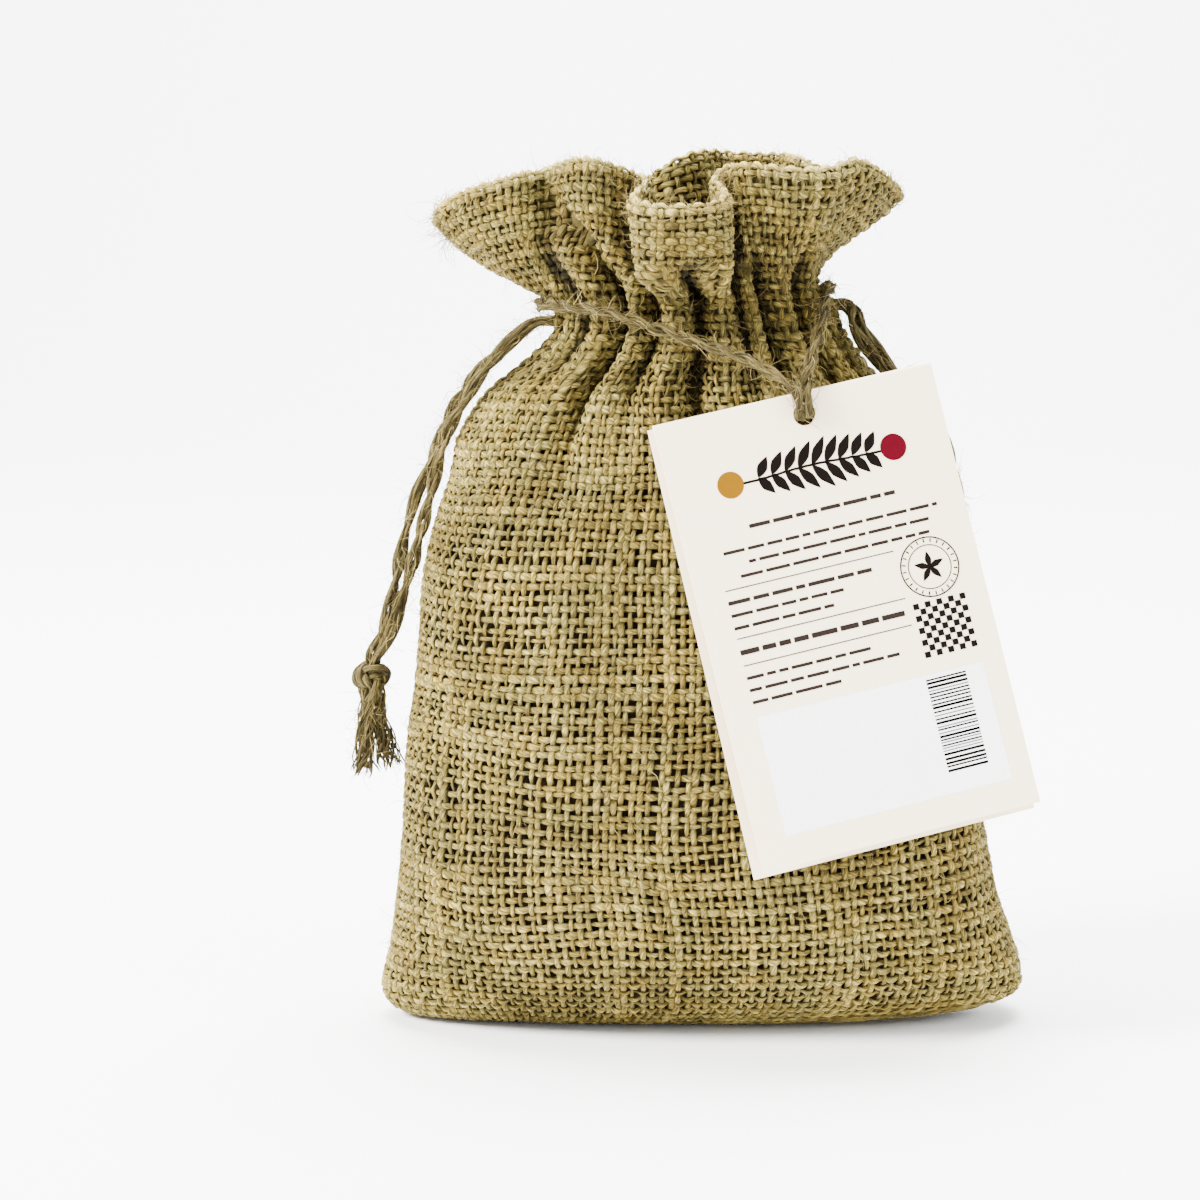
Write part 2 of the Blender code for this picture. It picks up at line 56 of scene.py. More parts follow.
def smoothCurve(points, spacing=None, count=None, closed=False, weights=1.0, finePoints=12):
    # A curve through the points, read again at even steps
    p = np.asarray(points, float)
    if closed:
        run = np.concatenate([p[-1:], p, p[:2]])
    else:
        run = np.concatenate([p[:1], p, p[-1:]])
    t = np.arange(finePoints)[:, None] / finePoints
    fine = []
    for i in range(len(run) - 3):
        a, b, c, d = run[i:i + 4]
        fine.append(0.5 * (2 * b + (c - a) * t + (2 * a - 5 * b + 4 * c - d) * t**2
                           + (3 * b - a - 3 * c + d) * t**3))
    fine.append(p[:1] if closed else p[-1:])
    fine = np.concatenate(fine)
    along = distances(fine, weights)
    pieces = count or max(int(round(along[-1] / spacing)), 2)
    return readAt(np.linspace(0, along[-1], pieces + 1), along, fine)


def evenRing(points, count):  # read again at equal steps, half a step in
    run = np.concatenate([points, points[:1]])
    along = distances(run)
    return readAt((np.arange(count) + 0.5) * along[-1] / count, along, run)


def eased(value, low, high):
    share = np.clip((value - low) / (high - low), 0, 1)
    return share * share * (3 - 2 * share)


def unit(vectors):
    return vectors / np.maximum(np.linalg.norm(vectors, axis=-1, keepdims=True), 1e-9)


def outward(ring):
    along = np.roll(ring, -1, axis=0) - np.roll(ring, 1, axis=0)
    return unit(np.stack([-along[:, 1], along[:, 0]], axis=1))


def lengthOf(path):
    return np.linalg.norm(np.diff(path, axis=0), axis=1).sum()


def drift(rng, count, length, reach):  # smooth random wander, one row for each yarn
    raw = rng.normal(size=(count, length))
    raw = np.concatenate([raw[:, -reach:], raw, raw[:, :reach]], axis=1)
    window = np.hanning(2 * reach + 3)[1:-1]
    window /= np.sqrt((window**2).sum())
    return np.stack([np.convolve(row, window, "valid") for row in raw])


def linked(name, data):
    made = bpy.data.objects.new(name, data)
    bpy.context.scene.collection.objects.link(made)
    return made


def finished(piece, slotName, *nodes):
    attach(piece, "root")
    if nodes:
        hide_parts(*nodes)
    return piece


def linkMesh(name, mesh, finish):
    mesh.materials.clear()
    mesh.materials.append(finish)
    mesh.shade_smooth()
    return linked(name, mesh)


def meshPiece(name, bm, finish, flat=False):
    mesh = bpy.data.meshes.new(name)
    bm.to_mesh(mesh)
    bm.free()
    piece = linkMesh(name, mesh, finish)
    if flat:
        mesh.shade_flat()
    return piece


def strandSection(sides):  # the plain outline that is swept along every strand
    data = bpy.data.curves.new("strandSection", "CURVE")
    spline = data.splines.new("POLY")
    spline.points.add(sides - 1)
    spline.use_cyclic_u = True
    for k, point in enumerate(spline.points):
        turn = 2 * math.pi * (k + 0.25) / sides
        point.co = (mm * math.cos(turn), mm * math.sin(turn), 0, 1)
    return linked("strandSection", data)


def strandMesh(name, lines, radii, closed=False, sides=5):
    # One strand along each line of points; both in mm. Its vertices come ring by ring
    data = bpy.data.curves.new(name, "CURVE")
    data.dimensions = "3D"
    data.bevel_mode = "OBJECT"
    data.bevel_object = strandSection(sides)
    for line, radius in zip(lines, radii):
        spline = data.splines.new("POLY")
        spline.points.add(len(line) - 1)
        places = np.column_stack([np.asarray(line) * mm, np.ones(len(line))])
        spline.points.foreach_set("co", places.ravel())
        spline.points.foreach_set("radius", np.asarray(radius, float))
        spline.use_cyclic_u = closed
    holder = linked(name, data)
    graph = bpy.context.evaluated_depsgraph_get()
    graph.update()
    mesh = bpy.data.meshes.new_from_object(holder.evaluated_get(graph))
    mesh.name = name
    for used in (holder, data.bevel_object):
        bpy.data.objects.remove(used)
    return mesh


def strandMaps(mesh, lengths, sides, pointCounts):
    # strand: mm along each strand, and its number plus the share of a turn round it.
    # OFBake: the same strands side by side in the unit square
    starts = np.concatenate([[0], np.cumsum(np.asarray(pointCounts) * sides)])
    corner = np.empty(len(mesh.loops), np.int32)
    mesh.loops.foreach_get("vertex_index", corner)
    number = np.searchsorted(starts, corner, side="right") - 1
    raw = np.empty(len(mesh.loops) * 2, np.float32)
    mesh.uv_layers[0].data.foreach_get("uv", raw)
    raw = raw.reshape(-1, 2)
    strand = np.stack([raw[:, 0] * np.asarray(lengths)[number], raw[:, 1] + number], axis=1)
    baked = np.stack([raw[:, 0], (0.03 + 0.94 * raw[:, 1] + number) / len(pointCounts)], axis=1)
    mesh.uv_layers.remove(mesh.uv_layers[0])
    for mapName, values in (("strand", strand), ("OFBake", baked)):
        layer = mesh.uv_layers.new(name=mapName)
        layer.data.foreach_set("uv", values.astype(np.float32).ravel())
    mesh.uv_layers.active = mesh.uv_layers["OFBake"]


def closeEnds(mesh):  # a cap on every open strand end, mapped like the strand beside it
    bm = bmesh.new()
    bm.from_mesh(mesh)
    made = bmesh.ops.holes_fill(bm, edges=[edge for edge in bm.edges if edge.is_boundary])
    caps = set(made["faces"])
    layers = bm.loops.layers.uv.values()
    for face in caps:
        for loop in face.loops:
            beside = next(other for other in loop.vert.link_loops if other.face not in caps)
            for layer in layers:
                loop[layer].uv = beside[layer].uv
    bm.to_mesh(mesh)
    bm.free()


# Materials

def setInputs(node, inputs):  # each to a value, or to what another node's socket puts out
    for key, value in inputs.items():
        if isinstance(value, bpy.types.NodeSocket):
            node.id_data.links.new(value, node.inputs[key])
        else:
            node.inputs[key].default_value = value


def newMaterial(name, roughness, specular=0.15):
    made = bpy.data.materials.new(name)
    made.use_nodes = True
    shader = made.node_tree.nodes["Principled BSDF"]
    setInputs(shader, {"Specular IOR Level": specular, "Roughness": roughness})
    return made, made.node_tree, shader


def addNode(tree, kind, inputs=(), **settings):
    node = tree.nodes.new("ShaderNode" + kind)
    for key, value in settings.items():
        setattr(node, key, value)
    setInputs(node, dict(inputs))
    return node


def addMath(tree, operation, *values):
    return addNode(tree, "Math", dict(enumerate(values)), operation=operation).outputs[0]


def addRamp(tree, value, colours):
    ramp = addNode(tree, "ValToRGB", {"Fac": value})
    stops = ramp.color_ramp.elements
    while len(stops) < len(colours):
        stops.new(0.5)
    for stop, (place, colour) in zip(stops, colours):
        stop.position = place
        stop.color = (*colour, 1)
    return ramp.outputs["Color"]


def mottledMaterial(name, look, roughness=0.95):
    made, tree, shader = newMaterial(name, roughness)
    spot = addNode(tree, "TexCoord").outputs["Object"]
    grain = addNode(tree, "TexNoise", {"Vector": spot, **look["noise"]})
    setInputs(shader, {"Base Color": addRamp(tree, grain.outputs["Fac"], look["colours"])})
    return made


streakNoise = {
    "streak": {"Scale": 1.0, "Detail": 3.0, "Roughness": 0.7}, "blotch": {"Detail": 4.0, "Roughness": 0.6},
    "hue": {"Scale": 160.0, "Detail": 2.0}, "hueShift": (3.1, 1.7, 2.3), "bumpDistance": 0.0002,
}


def fibreGroup():
    # Streaks that run along a strand, a tone for each strand, and blotches over the whole piece
    group = bpy.data.node_groups.new("fibreStreaks", "ShaderNodeTree")
    for name in ("Along", "Around", "Twist", "Blotch Scale", "Bump"):
        group.interface.new_socket(name=name, in_out="INPUT", socket_type="NodeSocketFloat")
    for name in ("Streak", "Strand Tone", "Blotch", "Hue"):
        group.interface.new_socket(name=name, in_out="OUTPUT", socket_type="NodeSocketFloat")
    group.interface.new_socket(name="Normal", in_out="OUTPUT", socket_type="NodeSocketVector")
    start = group.nodes.new("NodeGroupInput")
    end = group.nodes.new("NodeGroupOutput")
    uv = addNode(group, "UVMap", uv_map="strand").outputs["UV"]
    split = addNode(group, "SeparateXYZ", {0: uv})
    along, around, turned = (addMath(group, "MULTIPLY", split.outputs[axis], start.outputs[name])
                             for axis, name in (("X", "Along"), ("Y", "Around"), ("X", "Twist")))
    place = addNode(group, "CombineXYZ", {"X": along, "Y": addMath(group, "ADD", around, turned)}).outputs[0]
    streak = addNode(group, "TexNoise", {"Vector": place, **streakNoise["streak"]})
    number = addMath(group, "FLOOR", split.outputs["Y"])
    tone = addNode(group, "TexWhiteNoise", {"W": number}, noise_dimensions="1D")
    spot = addNode(group, "TexCoord").outputs["Object"]
    blotch = addNode(group, "TexNoise", {"Vector": spot, "Scale": start.outputs["Blotch Scale"],
                                         **streakNoise["blotch"]})
    hueSpot = addNode(group, "VectorMath", {0: spot, 1: streakNoise["hueShift"]}, operation="ADD").outputs[0]
    hue = addNode(group, "TexNoise", {"Vector": hueSpot, **streakNoise["hue"]})
    bump = addNode(group, "Bump", {"Height": streak.outputs["Fac"], "Distance": streakNoise["bumpDistance"],
                                   "Strength": start.outputs["Bump"]})
    for name, socket in (("Streak", streak.outputs["Fac"]), ("Strand Tone", tone.outputs["Value"]),
                         ("Blotch", blotch.outputs["Fac"]), ("Hue", hue.outputs["Fac"]),
                         ("Normal", bump.outputs["Normal"])):
        group.links.new(socket, end.inputs[name])
    return group


streaks = fibreGroup()
mixFirst, mixSecond, mixResult = 6, 7, 2  # where the Mix node has its colour sockets


def juteMaterial(name, look):
    made, tree, shader = newMaterial(name, look["roughness"])
    fibre = addNode(tree, "Group", look["fibre"], node_tree=streaks)
    tone = 0.5 - 0.5 * sum(look["gains"].values())
    for output, gain in look["gains"].items():
        tone = addMath(tree, "MULTIPLY_ADD", fibre.outputs[output], gain, tone)
    # painted light and shade from the yarns' own attribute: paler crowns and rim, darker low sides and neck
    # folds
    if look["paintedLightGain"]:
        paintedLight = addNode(tree, "Attribute", attribute_name="paintedLight").outputs["Fac"]
        tone = addMath(tree, "MULTIPLY_ADD", paintedLight, look["paintedLightGain"], tone)
    golden = addRamp(tree, fibre.outputs["Hue"], ((0.42, (1.0, 1.0, 1.0)), (0.62, look["golden"])))
    toned = addRamp(tree, tone, look["colours"])
    mixed = addNode(tree, "Mix", {"Factor": 1.0, mixFirst: toned, mixSecond: golden}, data_type="RGBA",
                    blend_type="MULTIPLY")
    setInputs(shader, {"Base Color": mixed.outputs[mixResult], "Normal": fibre.outputs["Normal"],
                       "Sheen Weight": look["sheen"], "Sheen Roughness": 0.5,
                       "Sheen Tint": (0.85, 0.68, 0.36, 1)})
    return made


clothLook = {
    "fibre": {"Along": 0.45, "Around": 8.0, "Twist": 1.1, "Blotch Scale": 42.0, "Bump": 1.0},
    "gains": {"Streak": 1.25, "Strand Tone": 0.10, "Blotch": 0.45}, "paintedLightGain": 0.13,
    "roughness": 0.88, "sheen": 0.03, "golden": (1.06, 0.96, 0.74),
    "colours": ((0.12, (0.005, 0.0034, 0.0007)), (0.34, (0.026, 0.0187, 0.0034)),
                (0.50, (0.068, 0.0520, 0.0110)), (0.66, (0.155, 0.1220, 0.0300)),
                (0.88, (0.470, 0.3850, 0.1300))),
}
twineLook = {
    "fibre": {"Along": 0.30, "Around": 5.0, "Twist": 0.4, "Blotch Scale": 60.0, "Bump": 1.0},
    "gains": {"Streak": 1.2, "Strand Tone": 0.22, "Blotch": 0.4}, "paintedLightGain": 0.0,
    "roughness": 0.88, "sheen": 0.03, "golden": (1.03, 0.98, 0.86),
    "colours": ((0.12, (0.0045, 0.003, 0.0008)), (0.34, (0.020, 0.0143, 0.0038)),
                (0.50, (0.050, 0.038, 0.0115)), (0.66, (0.103, 0.081, 0.027)),
                (0.92, (0.240, 0.195, 0.078))),
}
fuzzLook = {
    "fibre": {"Along": 0.3, "Around": 1.0, "Twist": 0.0, "Blotch Scale": 90.0, "Bump": 0.0},
    "gains": {"Streak": 0.3, "Strand Tone": 0.6, "Blotch": 0.2}, "paintedLightGain": 0.0,
    "roughness": 0.7, "sheen": 0.0, "golden": (1.0, 0.96, 0.85),
    "colours": ((0.20, (0.070, 0.050, 0.017)), (0.50, (0.160, 0.122, 0.044)), (0.80, (0.340, 0.270, 0.110))),
}
juteCloth, juteTwine, juteFuzz = (juteMaterial(name, look) for name, look in (
    ("jute_cloth", clothLook), ("jute_twine", twineLook), ("jute_fuzz", fuzzLook)))
print("jute materials made")


# Camera first, at the photo's angle

camera = {
    "elevation": 8.0, "distance": 0.700, "aimHeight": 0.0885, "sensor": 36.0,
    "focalPixels": 3349.0, "frameSide": 1200.0, "shiftPixels": 100.0,
}
cameraData = bpy.data.cameras.new("camera")
cameraObject = linked("camera", cameraData)
tilt = math.radians(camera["elevation"])
cameraData.sensor_width = camera["sensor"]
cameraData.lens = camera["focalPixels"] * camera["sensor"] / camera["frameSide"]
cameraData.shift_x = -camera["shiftPixels"] / camera["frameSide"]
cameraObject.location = (0, -camera["distance"] * math.cos(tilt),
                         camera["aimHeight"] + camera["distance"] * math.sin(tilt))
cameraObject.rotation_euler = (math.pi / 2 - tilt, 0, 0)
bpy.context.scene.camera = cameraObject


# Cords

cords = {
    "diameter": 2.3, "tagDiameter": 1.7, "offCloth": 0.45, "lift": 0.2,
    "leftSlit": 146.6, "rightSlit": 150.0, "loop": (18.0, 7.4), "loopOpening": 16.0, "loopPoints": 24,
    "slitRun": ((26.0, 1.5), (21.5, 1.6)), "strandSpacing": 5.0, "tagSpacing": 2.6, "pathStep": 1.75,
}
leftRoutes = ((  # the front strand from the slit down to the knot, then the back one
    (-33.5, -1.5, 146.6), (-36.8, -2.6, 144.2), (-41.6, -3.6, 139.8), (-46.6, -4.6, 133.6),
    (-50, -4.8, 128), (-52.4, -4.4, 123.4), (-54.4, -3.8, 116.8), (-56.4, -3.2, 108.8),
    (-59.4, -2.6, 98), (-62.4, -2.2, 88.2), (-65.4, -1.8, 80.4), (-67.7, -1.6, 76),
), (
    (-33.5, 1.5, 146.6), (-36.8, 1.4, 144.6), (-41.6, 1.2, 140.6), (-46.8, 0.9, 135),
    (-50.8, 0.6, 129.2), (-53.4, 0.4, 124), (-56, 0.3, 117.2), (-59.6, 0.2, 109.2),
    (-62.3, 0.2, 98.4), (-64.6, 0.3, 88.6), (-67, 0.4, 80.6), (-69, 0.6, 76.2),
))
leftKnot = (-68.8, -0.6, 71.6)
leftTails = (
    ((-69.4, -1.6, 67.3), (-70.2, -1.8, 62), (-70.4, -2, 56.6), (-70.8, -2.2, 51.6)),
    ((-67.6, 0.6, 67.3), (-67.2, 0.8, 62), (-66, 0.8, 57), (-64.9, 0.8, 52.6)),
)
rightRoutes = ((  # the front strand from the slit down to the knot, then the back one
    (30.4, -1.5, 150), (31.2, -4, 146.4), (34.2, -6.4, 141.4), (38, -8.4, 136.8),
    (42.4, -11, 130.6), (46.8, -14.4, 122.6), (49.4, -17.4, 112.8), (50.6, -19.8, 102),
    (51.8, -21.6, 91), (53.2, -23.2, 81), (54.2, -23.9, 74),
), (
    (30.4, 1.5, 150), (32.8, -0.6, 147), (35.8, -2.8, 142.4), (39.4, -4.8, 137.2),
    (44.4, -7.8, 131), (49.8, -11, 123), (52.4, -13.8, 113.6), (53.6, -16.4, 102.4),
    (54.6, -18.6, 91.4), (55.4, -20.6, 81.4), (56, -22.2, 74.1),
))
rightKnot = (55.3, -23.6, 69.6)
rightTails = (
    ((54.2, -24.2, 65.3), (53.8, -24.8, 60), (53.6, -25.4, 55), (53.4, -25.8, 50.2)),
    ((56, -22.5, 65.3), (56.5, -22.8, 60), (57.2, -23.2, 55), (57.5, -23.4, 51)),
)
tagStringRoute = (
    (15, -29.6, 137.4), (9.6, -27.4, 140.4), (3.2, -25.4, 142.6), (-3, -23.6, 144.6),
    (-9.6, -22, 146.8), (-16.4, -19.6, 148.8), (-22.6, -16, 150), (-28, -11, 150.2),
    (-32, -4.6, 150.8), (-32.8, 1.4, 151.4), (-30.6, 8, 151.6), (-24.6, 14.4, 151.4),
    (-16, 18.2, 151.2), (-6, 20.2, 151), (4, 20, 151), (14, 17.8, 151.2),
    (21, 13.4, 152), (25, 8.2, 153), (26.4, 2, 153.8), (26.4, -5, 153.4),
    (25.4, -11.6, 151.4), (24.6, -17.6, 148), (23.2, -22.6, 144.2), (21.9, -27, 139.6),
)
tagPlace = {
    "centre": (29.3, -36.0, 90.6), "yaw": 10.0, "lean": -12.0, "roll": -12.0,
    "width": 58.0, "height": 90.7, "hole": (1.2, 40.7), "strandHalfStep": 1.0, "knotBehind": 3.75,
}
throughHole = ((1.75, -0.1), (0.7, -0.1), (-0.7, -0.1), (-1.7, 0.5), (-2.0, 2.4), (-2.1, 5.2))


def cadTree(node):
    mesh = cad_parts[node].data
    mesh.calc_loop_triangles()
    points = [v.co.copy() for v in mesh.vertices]
    return BVHTree.FromPolygons(points, [tuple(t.vertices) for t in mesh.loop_triangles])


clothTree = cadTree("bag_cloth")


def keptOff(points, radius):  # each point is moved out to where a cord of this radius lies on the cloth
    moved = []
    for p in points:
        place = Vector(p) * mm
        for _ in range(4):
            spot, normal, _, distance = clothTree.find_nearest(place)
            wanted = (radius + cords["offCloth"]) * mm
            inside = (place - spot).dot(normal) < 0
            if not inside and distance >= wanted:
                break
            place = spot + (normal if inside else (place - spot).normalized()) * wanted
        moved.append(np.array(place) / mm)
    return moved


def intoKnot(end, knotPlace, shares=(0.25, 0.75)):  # one more point, inside the knot
    return tuple(np.array(end) * shares[0] + np.array(knotPlace) * shares[1])


def drawstringPath(side, height, routes, knotPlace):
    halfWidth, halfDepth = cords["loop"]
    gate = math.radians(cords["loopOpening"])
    turns = np.linspace(gate, 2 * math.pi - gate, cords["loopPoints"])
    loop = [(side * halfWidth * math.cos(t), -halfDepth * math.sin(t), height) for t in turns]
    inside = [(side * x, -y, height) for x, y in cords["slitRun"]]
    hidden = inside + loop + [(x, -y, z) for x, y, z in inside[::-1]]
    front, back = (keptOff(smoothCurve(route, cords["strandSpacing"]), cords["diameter"] / 2)
                   + [intoKnot(route[-1], knotPlace)] for route in routes)
    return smoothCurve(front[::-1] + hidden + back, cords["diameter"] * cords["pathStep"])


def tagMatrix():
    turned = Matrix.Identity(4)
    for key, axis in (("yaw", "Z"), ("lean", "X"), ("roll", "Y")):
        turned = turned @ Matrix.Rotation(math.radians(tagPlace[key]), 4, axis)
    return Matrix.Translation(Vector(tagPlace["centre"]) * mm) @ turned


def fromTag(across, away, up):  # a point given in the tag's own directions
    return np.array(tagMatrix() @ (Vector((across, away, up)) * mm)) / mm


def throughTag(side):
    holeX, holeZ = tagPlace["hole"]
    across = holeX + side * tagPlace["strandHalfStep"]
    return [fromTag(across, away, holeZ + up) for away, up in throughHole]


def tagStringPath():
    route = throughTag(-1) + list(tagStringRoute) + throughTag(1)[::-1]
    radius = cords["tagDiameter"] / 2 + cords["lift"]
    return np.array(keptOff(smoothCurve(route, cords["tagSpacing"]), radius))


def carriedFrames(path):  # two directions across the path, carried along it without twisting
    ahead = unit(np.gradient(path, axis=0))
    first = np.cross(ahead[0], (0.3, 0.9, 0.1))
    across = [first / np.linalg.norm(first)]
    for direction in ahead[1:]:
        turned = across[-1] - direction * across[-1].dot(direction)
        across.append(turned / np.linalg.norm(turned))
    across = np.array(across)
    return across, np.cross(ahead, across)


twine = {  # shares of the cord's diameter, but for the two twists in mm
    "plyOffset": 0.265, "strandOffset": 0.185, "strandRadius": 0.125, "core": 0.17, "strandsInPly": 6,
    "every": 22.0, "tagEvery": 12.0, "untwist": 0.7, "step": 0.40, "swell": 1.12, "tagSwell": 1.38,
    "turnUneven": 0.6, "plyUneven": 0.10, "strandUneven": 0.45, "thickUneven": 0.16, "thinnest": 0.3,
    "endRadius": 0.02,
}


def pliedLines(rng, path, diameter, every):  # two plies of a few fibre strands each, twisted together
    one, other = carriedFrames(path)
    count = len(path)
    along = np.linspace(0, lengthOf(path), count)

    def uneven(key, reach):
        return twine[key] * drift(rng, 1, count, reach)[0]

    twist = 2 * math.pi * along / every + uneven("turnUneven", 20)
    lines, radii = [], []
    for ply in range(2):
        turn = (twist + math.pi * ply)[:, None]
        offset = (diameter * twine["plyOffset"] * (1 + uneven("plyUneven", 9)))[:, None]
        centre = path + offset * (np.cos(turn) * one + np.sin(turn) * other)
        for k in range(twine["strandsInPly"]):
            own = 2 * math.pi * k / twine["strandsInPly"] - twine["untwist"] * twist
            own = (own + uneven("strandUneven", 9))[:, None]
            reach = (diameter * twine["strandOffset"] * (1 + uneven("thickUneven", 6)))[:, None]
            lines.append(centre + reach * (np.cos(own) * one + np.sin(own) * other))
            radius = diameter * twine["strandRadius"] * (1 + uneven("thickUneven", 5))
            radii.append(np.clip(radius, twine["thinnest"] * diameter * twine["strandRadius"], None))
        lines.append(centre)  # the ply's own core, so that no light shows through it
        radii.append(np.full(count, diameter * twine["core"]))
    return lines, radii


def strandPiece(name, lines, radii, finish, sides=4):
    mesh = strandMesh(name, lines, radii, sides=sides)
    strandMaps(mesh, [lengthOf(line) for line in lines], sides, [len(line) for line in lines])
    closeEnds(mesh)
    return linkMesh(name, mesh, finish)


def pliedTwine(name, path, diameter, every, swell, seed):
    rng = np.random.default_rng(seed)
    fine = smoothCurve(path, diameter * twine["step"])
    lines, radii = pliedLines(rng, fine, diameter * swell, every)
    for radius in radii:
        radius[[0, -1]] = twine["endRadius"]
    return strandPiece(name, lines, radii, juteTwine), fine


knot = {"points": 90, "reach": 0.90, "upright": 1.35, "depth": 2.2, "apart": 0.66, "cord": 2.3, "every": 12.0}


def knotPath(size, turned):  # a closed three-lobed overhand, pulled tight
    t = np.linspace(0, 2 * math.pi, knot["points"], endpoint=False)
    line = np.stack([np.sin(t) + 2 * np.sin(2 * t), np.cos(t) - 2 * np.cos(2 * t), -np.sin(3 * t)], axis=1)
    line *= np.array([knot["reach"], knot["reach"] * knot["upright"], knot["depth"]]) * size
    spun = Matrix.Rotation(turned, 3, "Y") @ Matrix.Rotation(math.pi / 2, 3, "X")
    line = line @ np.array(spun).T
    return smoothCurve(np.concatenate([line, line[:1]]), 0.7 * size)


def tiedKnot(name, size, turned, seed, matrix):  # the doubled twine, tied in one knot
    rng = np.random.default_rng(seed)
    path = knotPath(size, turned)
    one, other = carriedFrames(path)
    lines, radii = [], []
    for way in (-1, 1):
        beside = path + way * knot["apart"] * size * (0.8 * one + 0.6 * other)
        made = pliedLines(rng, beside, knot["cord"] * size, knot["every"] * size)
        lines += made[0]
        radii += made[1]
    piece = strandPiece(name, lines, radii, juteTwine)
    piece.data.transform(matrix)
    return piece


tail = {
    "fibres": 50, "radius": 0.18, "core": 0.30, "opensFrom": 0.30, "opens": 1.8, "diameter": 3.5, "step": 0.9,
    "inKnot": (0.45, 0.55), "twist": 3.5, "turnUneven": 0.3, "uneven": 0.14, "thickness": (0.6, 1.3),
    "taper": (1.15, 1.0), "tip": 0.3, "cutBack": 4, "coreLength": 0.8, "coreTaper": (1.0, 0.5),
}


def frayedTail(name, route, knotPlace, seed):
    rng = np.random.default_rng(seed)
    path = smoothCurve([intoKnot(route[0], knotPlace, tail["inKnot"]), *route], tail["step"])
    one, other = carriedFrames(path)
    share = np.linspace(0, 1, len(path))
    lines, radii = [], []
    for _ in range(tail["fibres"]):
        turn = rng.uniform(0, 2 * math.pi)
        out = math.sqrt(rng.uniform(0, 1)) * (tail["diameter"] / 2 - tail["radius"])
        spread = 1 + (tail["opens"] - 1) * eased(share, tail["opensFrom"], 1.0)
        twist = turn + tail["twist"] * share + tail["turnUneven"] * drift(rng, 1, len(path), 4)[0]
        reach = (out * spread * (1 + tail["uneven"] * drift(rng, 1, len(path), 3)[0]))[:, None]
        line = path + reach * (np.cos(twist)[:, None] * one + np.sin(twist)[:, None] * other)
        stop = len(path) - rng.integers(0, tail["cutBack"])
        radius = tail["radius"] * rng.uniform(*tail["thickness"]) * np.linspace(*tail["taper"], stop)
        radius[-1] *= tail["tip"]
        lines.append(line[:stop])
        radii.append(radius)
    lines.append(path[:int(tail["coreLength"] * len(path))])
    radii.append(tail["diameter"] * tail["core"] * np.linspace(*tail["coreTaper"], len(lines[-1])))
    return strandPiece(name, lines, radii, juteTwine)


def drawstring(word, side, height, routes, knotPlace, tails, seed):
    path = drawstringPath(side, height, routes, knotPlace)
    string, fine = pliedTwine(f"drawstring_{word}_twine", path, cords["diameter"], twine["every"],
                              twine["swell"], seed)
    tied = tiedKnot(f"knot_{word}_tied", 1.0, 0.5 + side * 0.4, seed + 1,
                    Matrix.Translation(Vector(knotPlace) * mm))
    frayed = [frayedTail(f"tail_{word}_{letter}_frayed", route, knotPlace, seed + 2 + k)
              for k, (letter, route) in enumerate(zip("ab", tails))]
    for piece, node in ((string, f"drawstring_{word}"), (tied, f"knot_{word}"),
                        (frayed[0], f"tail_{word}_a"), (frayed[1], f"tail_{word}_b")):
        finished(piece, "jute_twine", node)
    return fine


leftLine = drawstring("left", -1, cords["leftSlit"], leftRoutes, leftKnot, leftTails, 11)
rightLine = drawstring("right", 1, cords["rightSlit"], rightRoutes, rightKnot, rightTails, 31)
tagKnot = {"size": 0.56, "turned": 0.3, "flattened": (1.0, 0.55, 0.85, 1.0), "seed": 53}


def tagStringPieces():
    string, fine = pliedTwine("tag_string_twine", tagStringPath(), cords["tagDiameter"], twine["tagEvery"],
                              twine["tagSwell"], 51)
    holeX, holeZ = tagPlace["hole"]
    behind = Matrix.Translation(Vector(fromTag(holeX, tagPlace["knotBehind"], holeZ)) * mm)
    flat = tagMatrix().to_3x3().to_4x4() @ Matrix.Diagonal(tagKnot["flattened"])
    tied = tiedKnot("tag_knot_tied", tagKnot["size"], tagKnot["turned"], tagKnot["seed"], behind @ flat)
    finished(string, "jute_twine", "tag_string")
    finished(tied, "jute_twine", "tag_knot")
    return fine


tagLine = tagStringPieces()


# The woven cloth: a fine grid over the pouch, then a yarn along every second line of it

pouch = {
    "warps": 168, "bodyWefts": 80, "ruffleWefts": 15, "casingWefts": 14, "depthWeight": 0.55,
    "bodyPower": 2.4, "neckPower": 2.0, "powerFrom": 100.0, "powerTo": 145.0,
    "pleatedWall": 2.4, "hemHalf": 1.05, "hemRound": 0.8, "lining": 1.45,
    "ruffleSwell": 1.6, "leftSwell": 3.4, "rightWaist": 11.0,
    "creasePower": 0.62, "creaseWidens": 0.45, "rippleHeight": 0.5, "rippleLength": 24.0,
    "weaveDrift": 0.75, "rightRise": 4.5, "notchAt": 0.247, "notchHalf": 0.0135, "notchDepth": 12.5,
    "notchFrom": (0.0, 0.12), "notchTo": (0.36, 0.52), "leanSpan": (0.02, 0.38), "turnSpan": (0.05, 0.5),
    "rimSpan": (0.0, 0.9), "widenSpan": (0.0, 0.5), "waistAt": 0.72, "waistPower": 1.6, "fadePower": 1.3,
    "looseSpan": (6.0, 25.0), "tightSpan": (120.0, 140.0), "tightShare": 0.6, "riseSpan": (-5, 62),
    "riseHeight": 125, "eyeletAt": 30.0, "eyeletReach": 4.5, "eyeletOpens": 2.0,
}
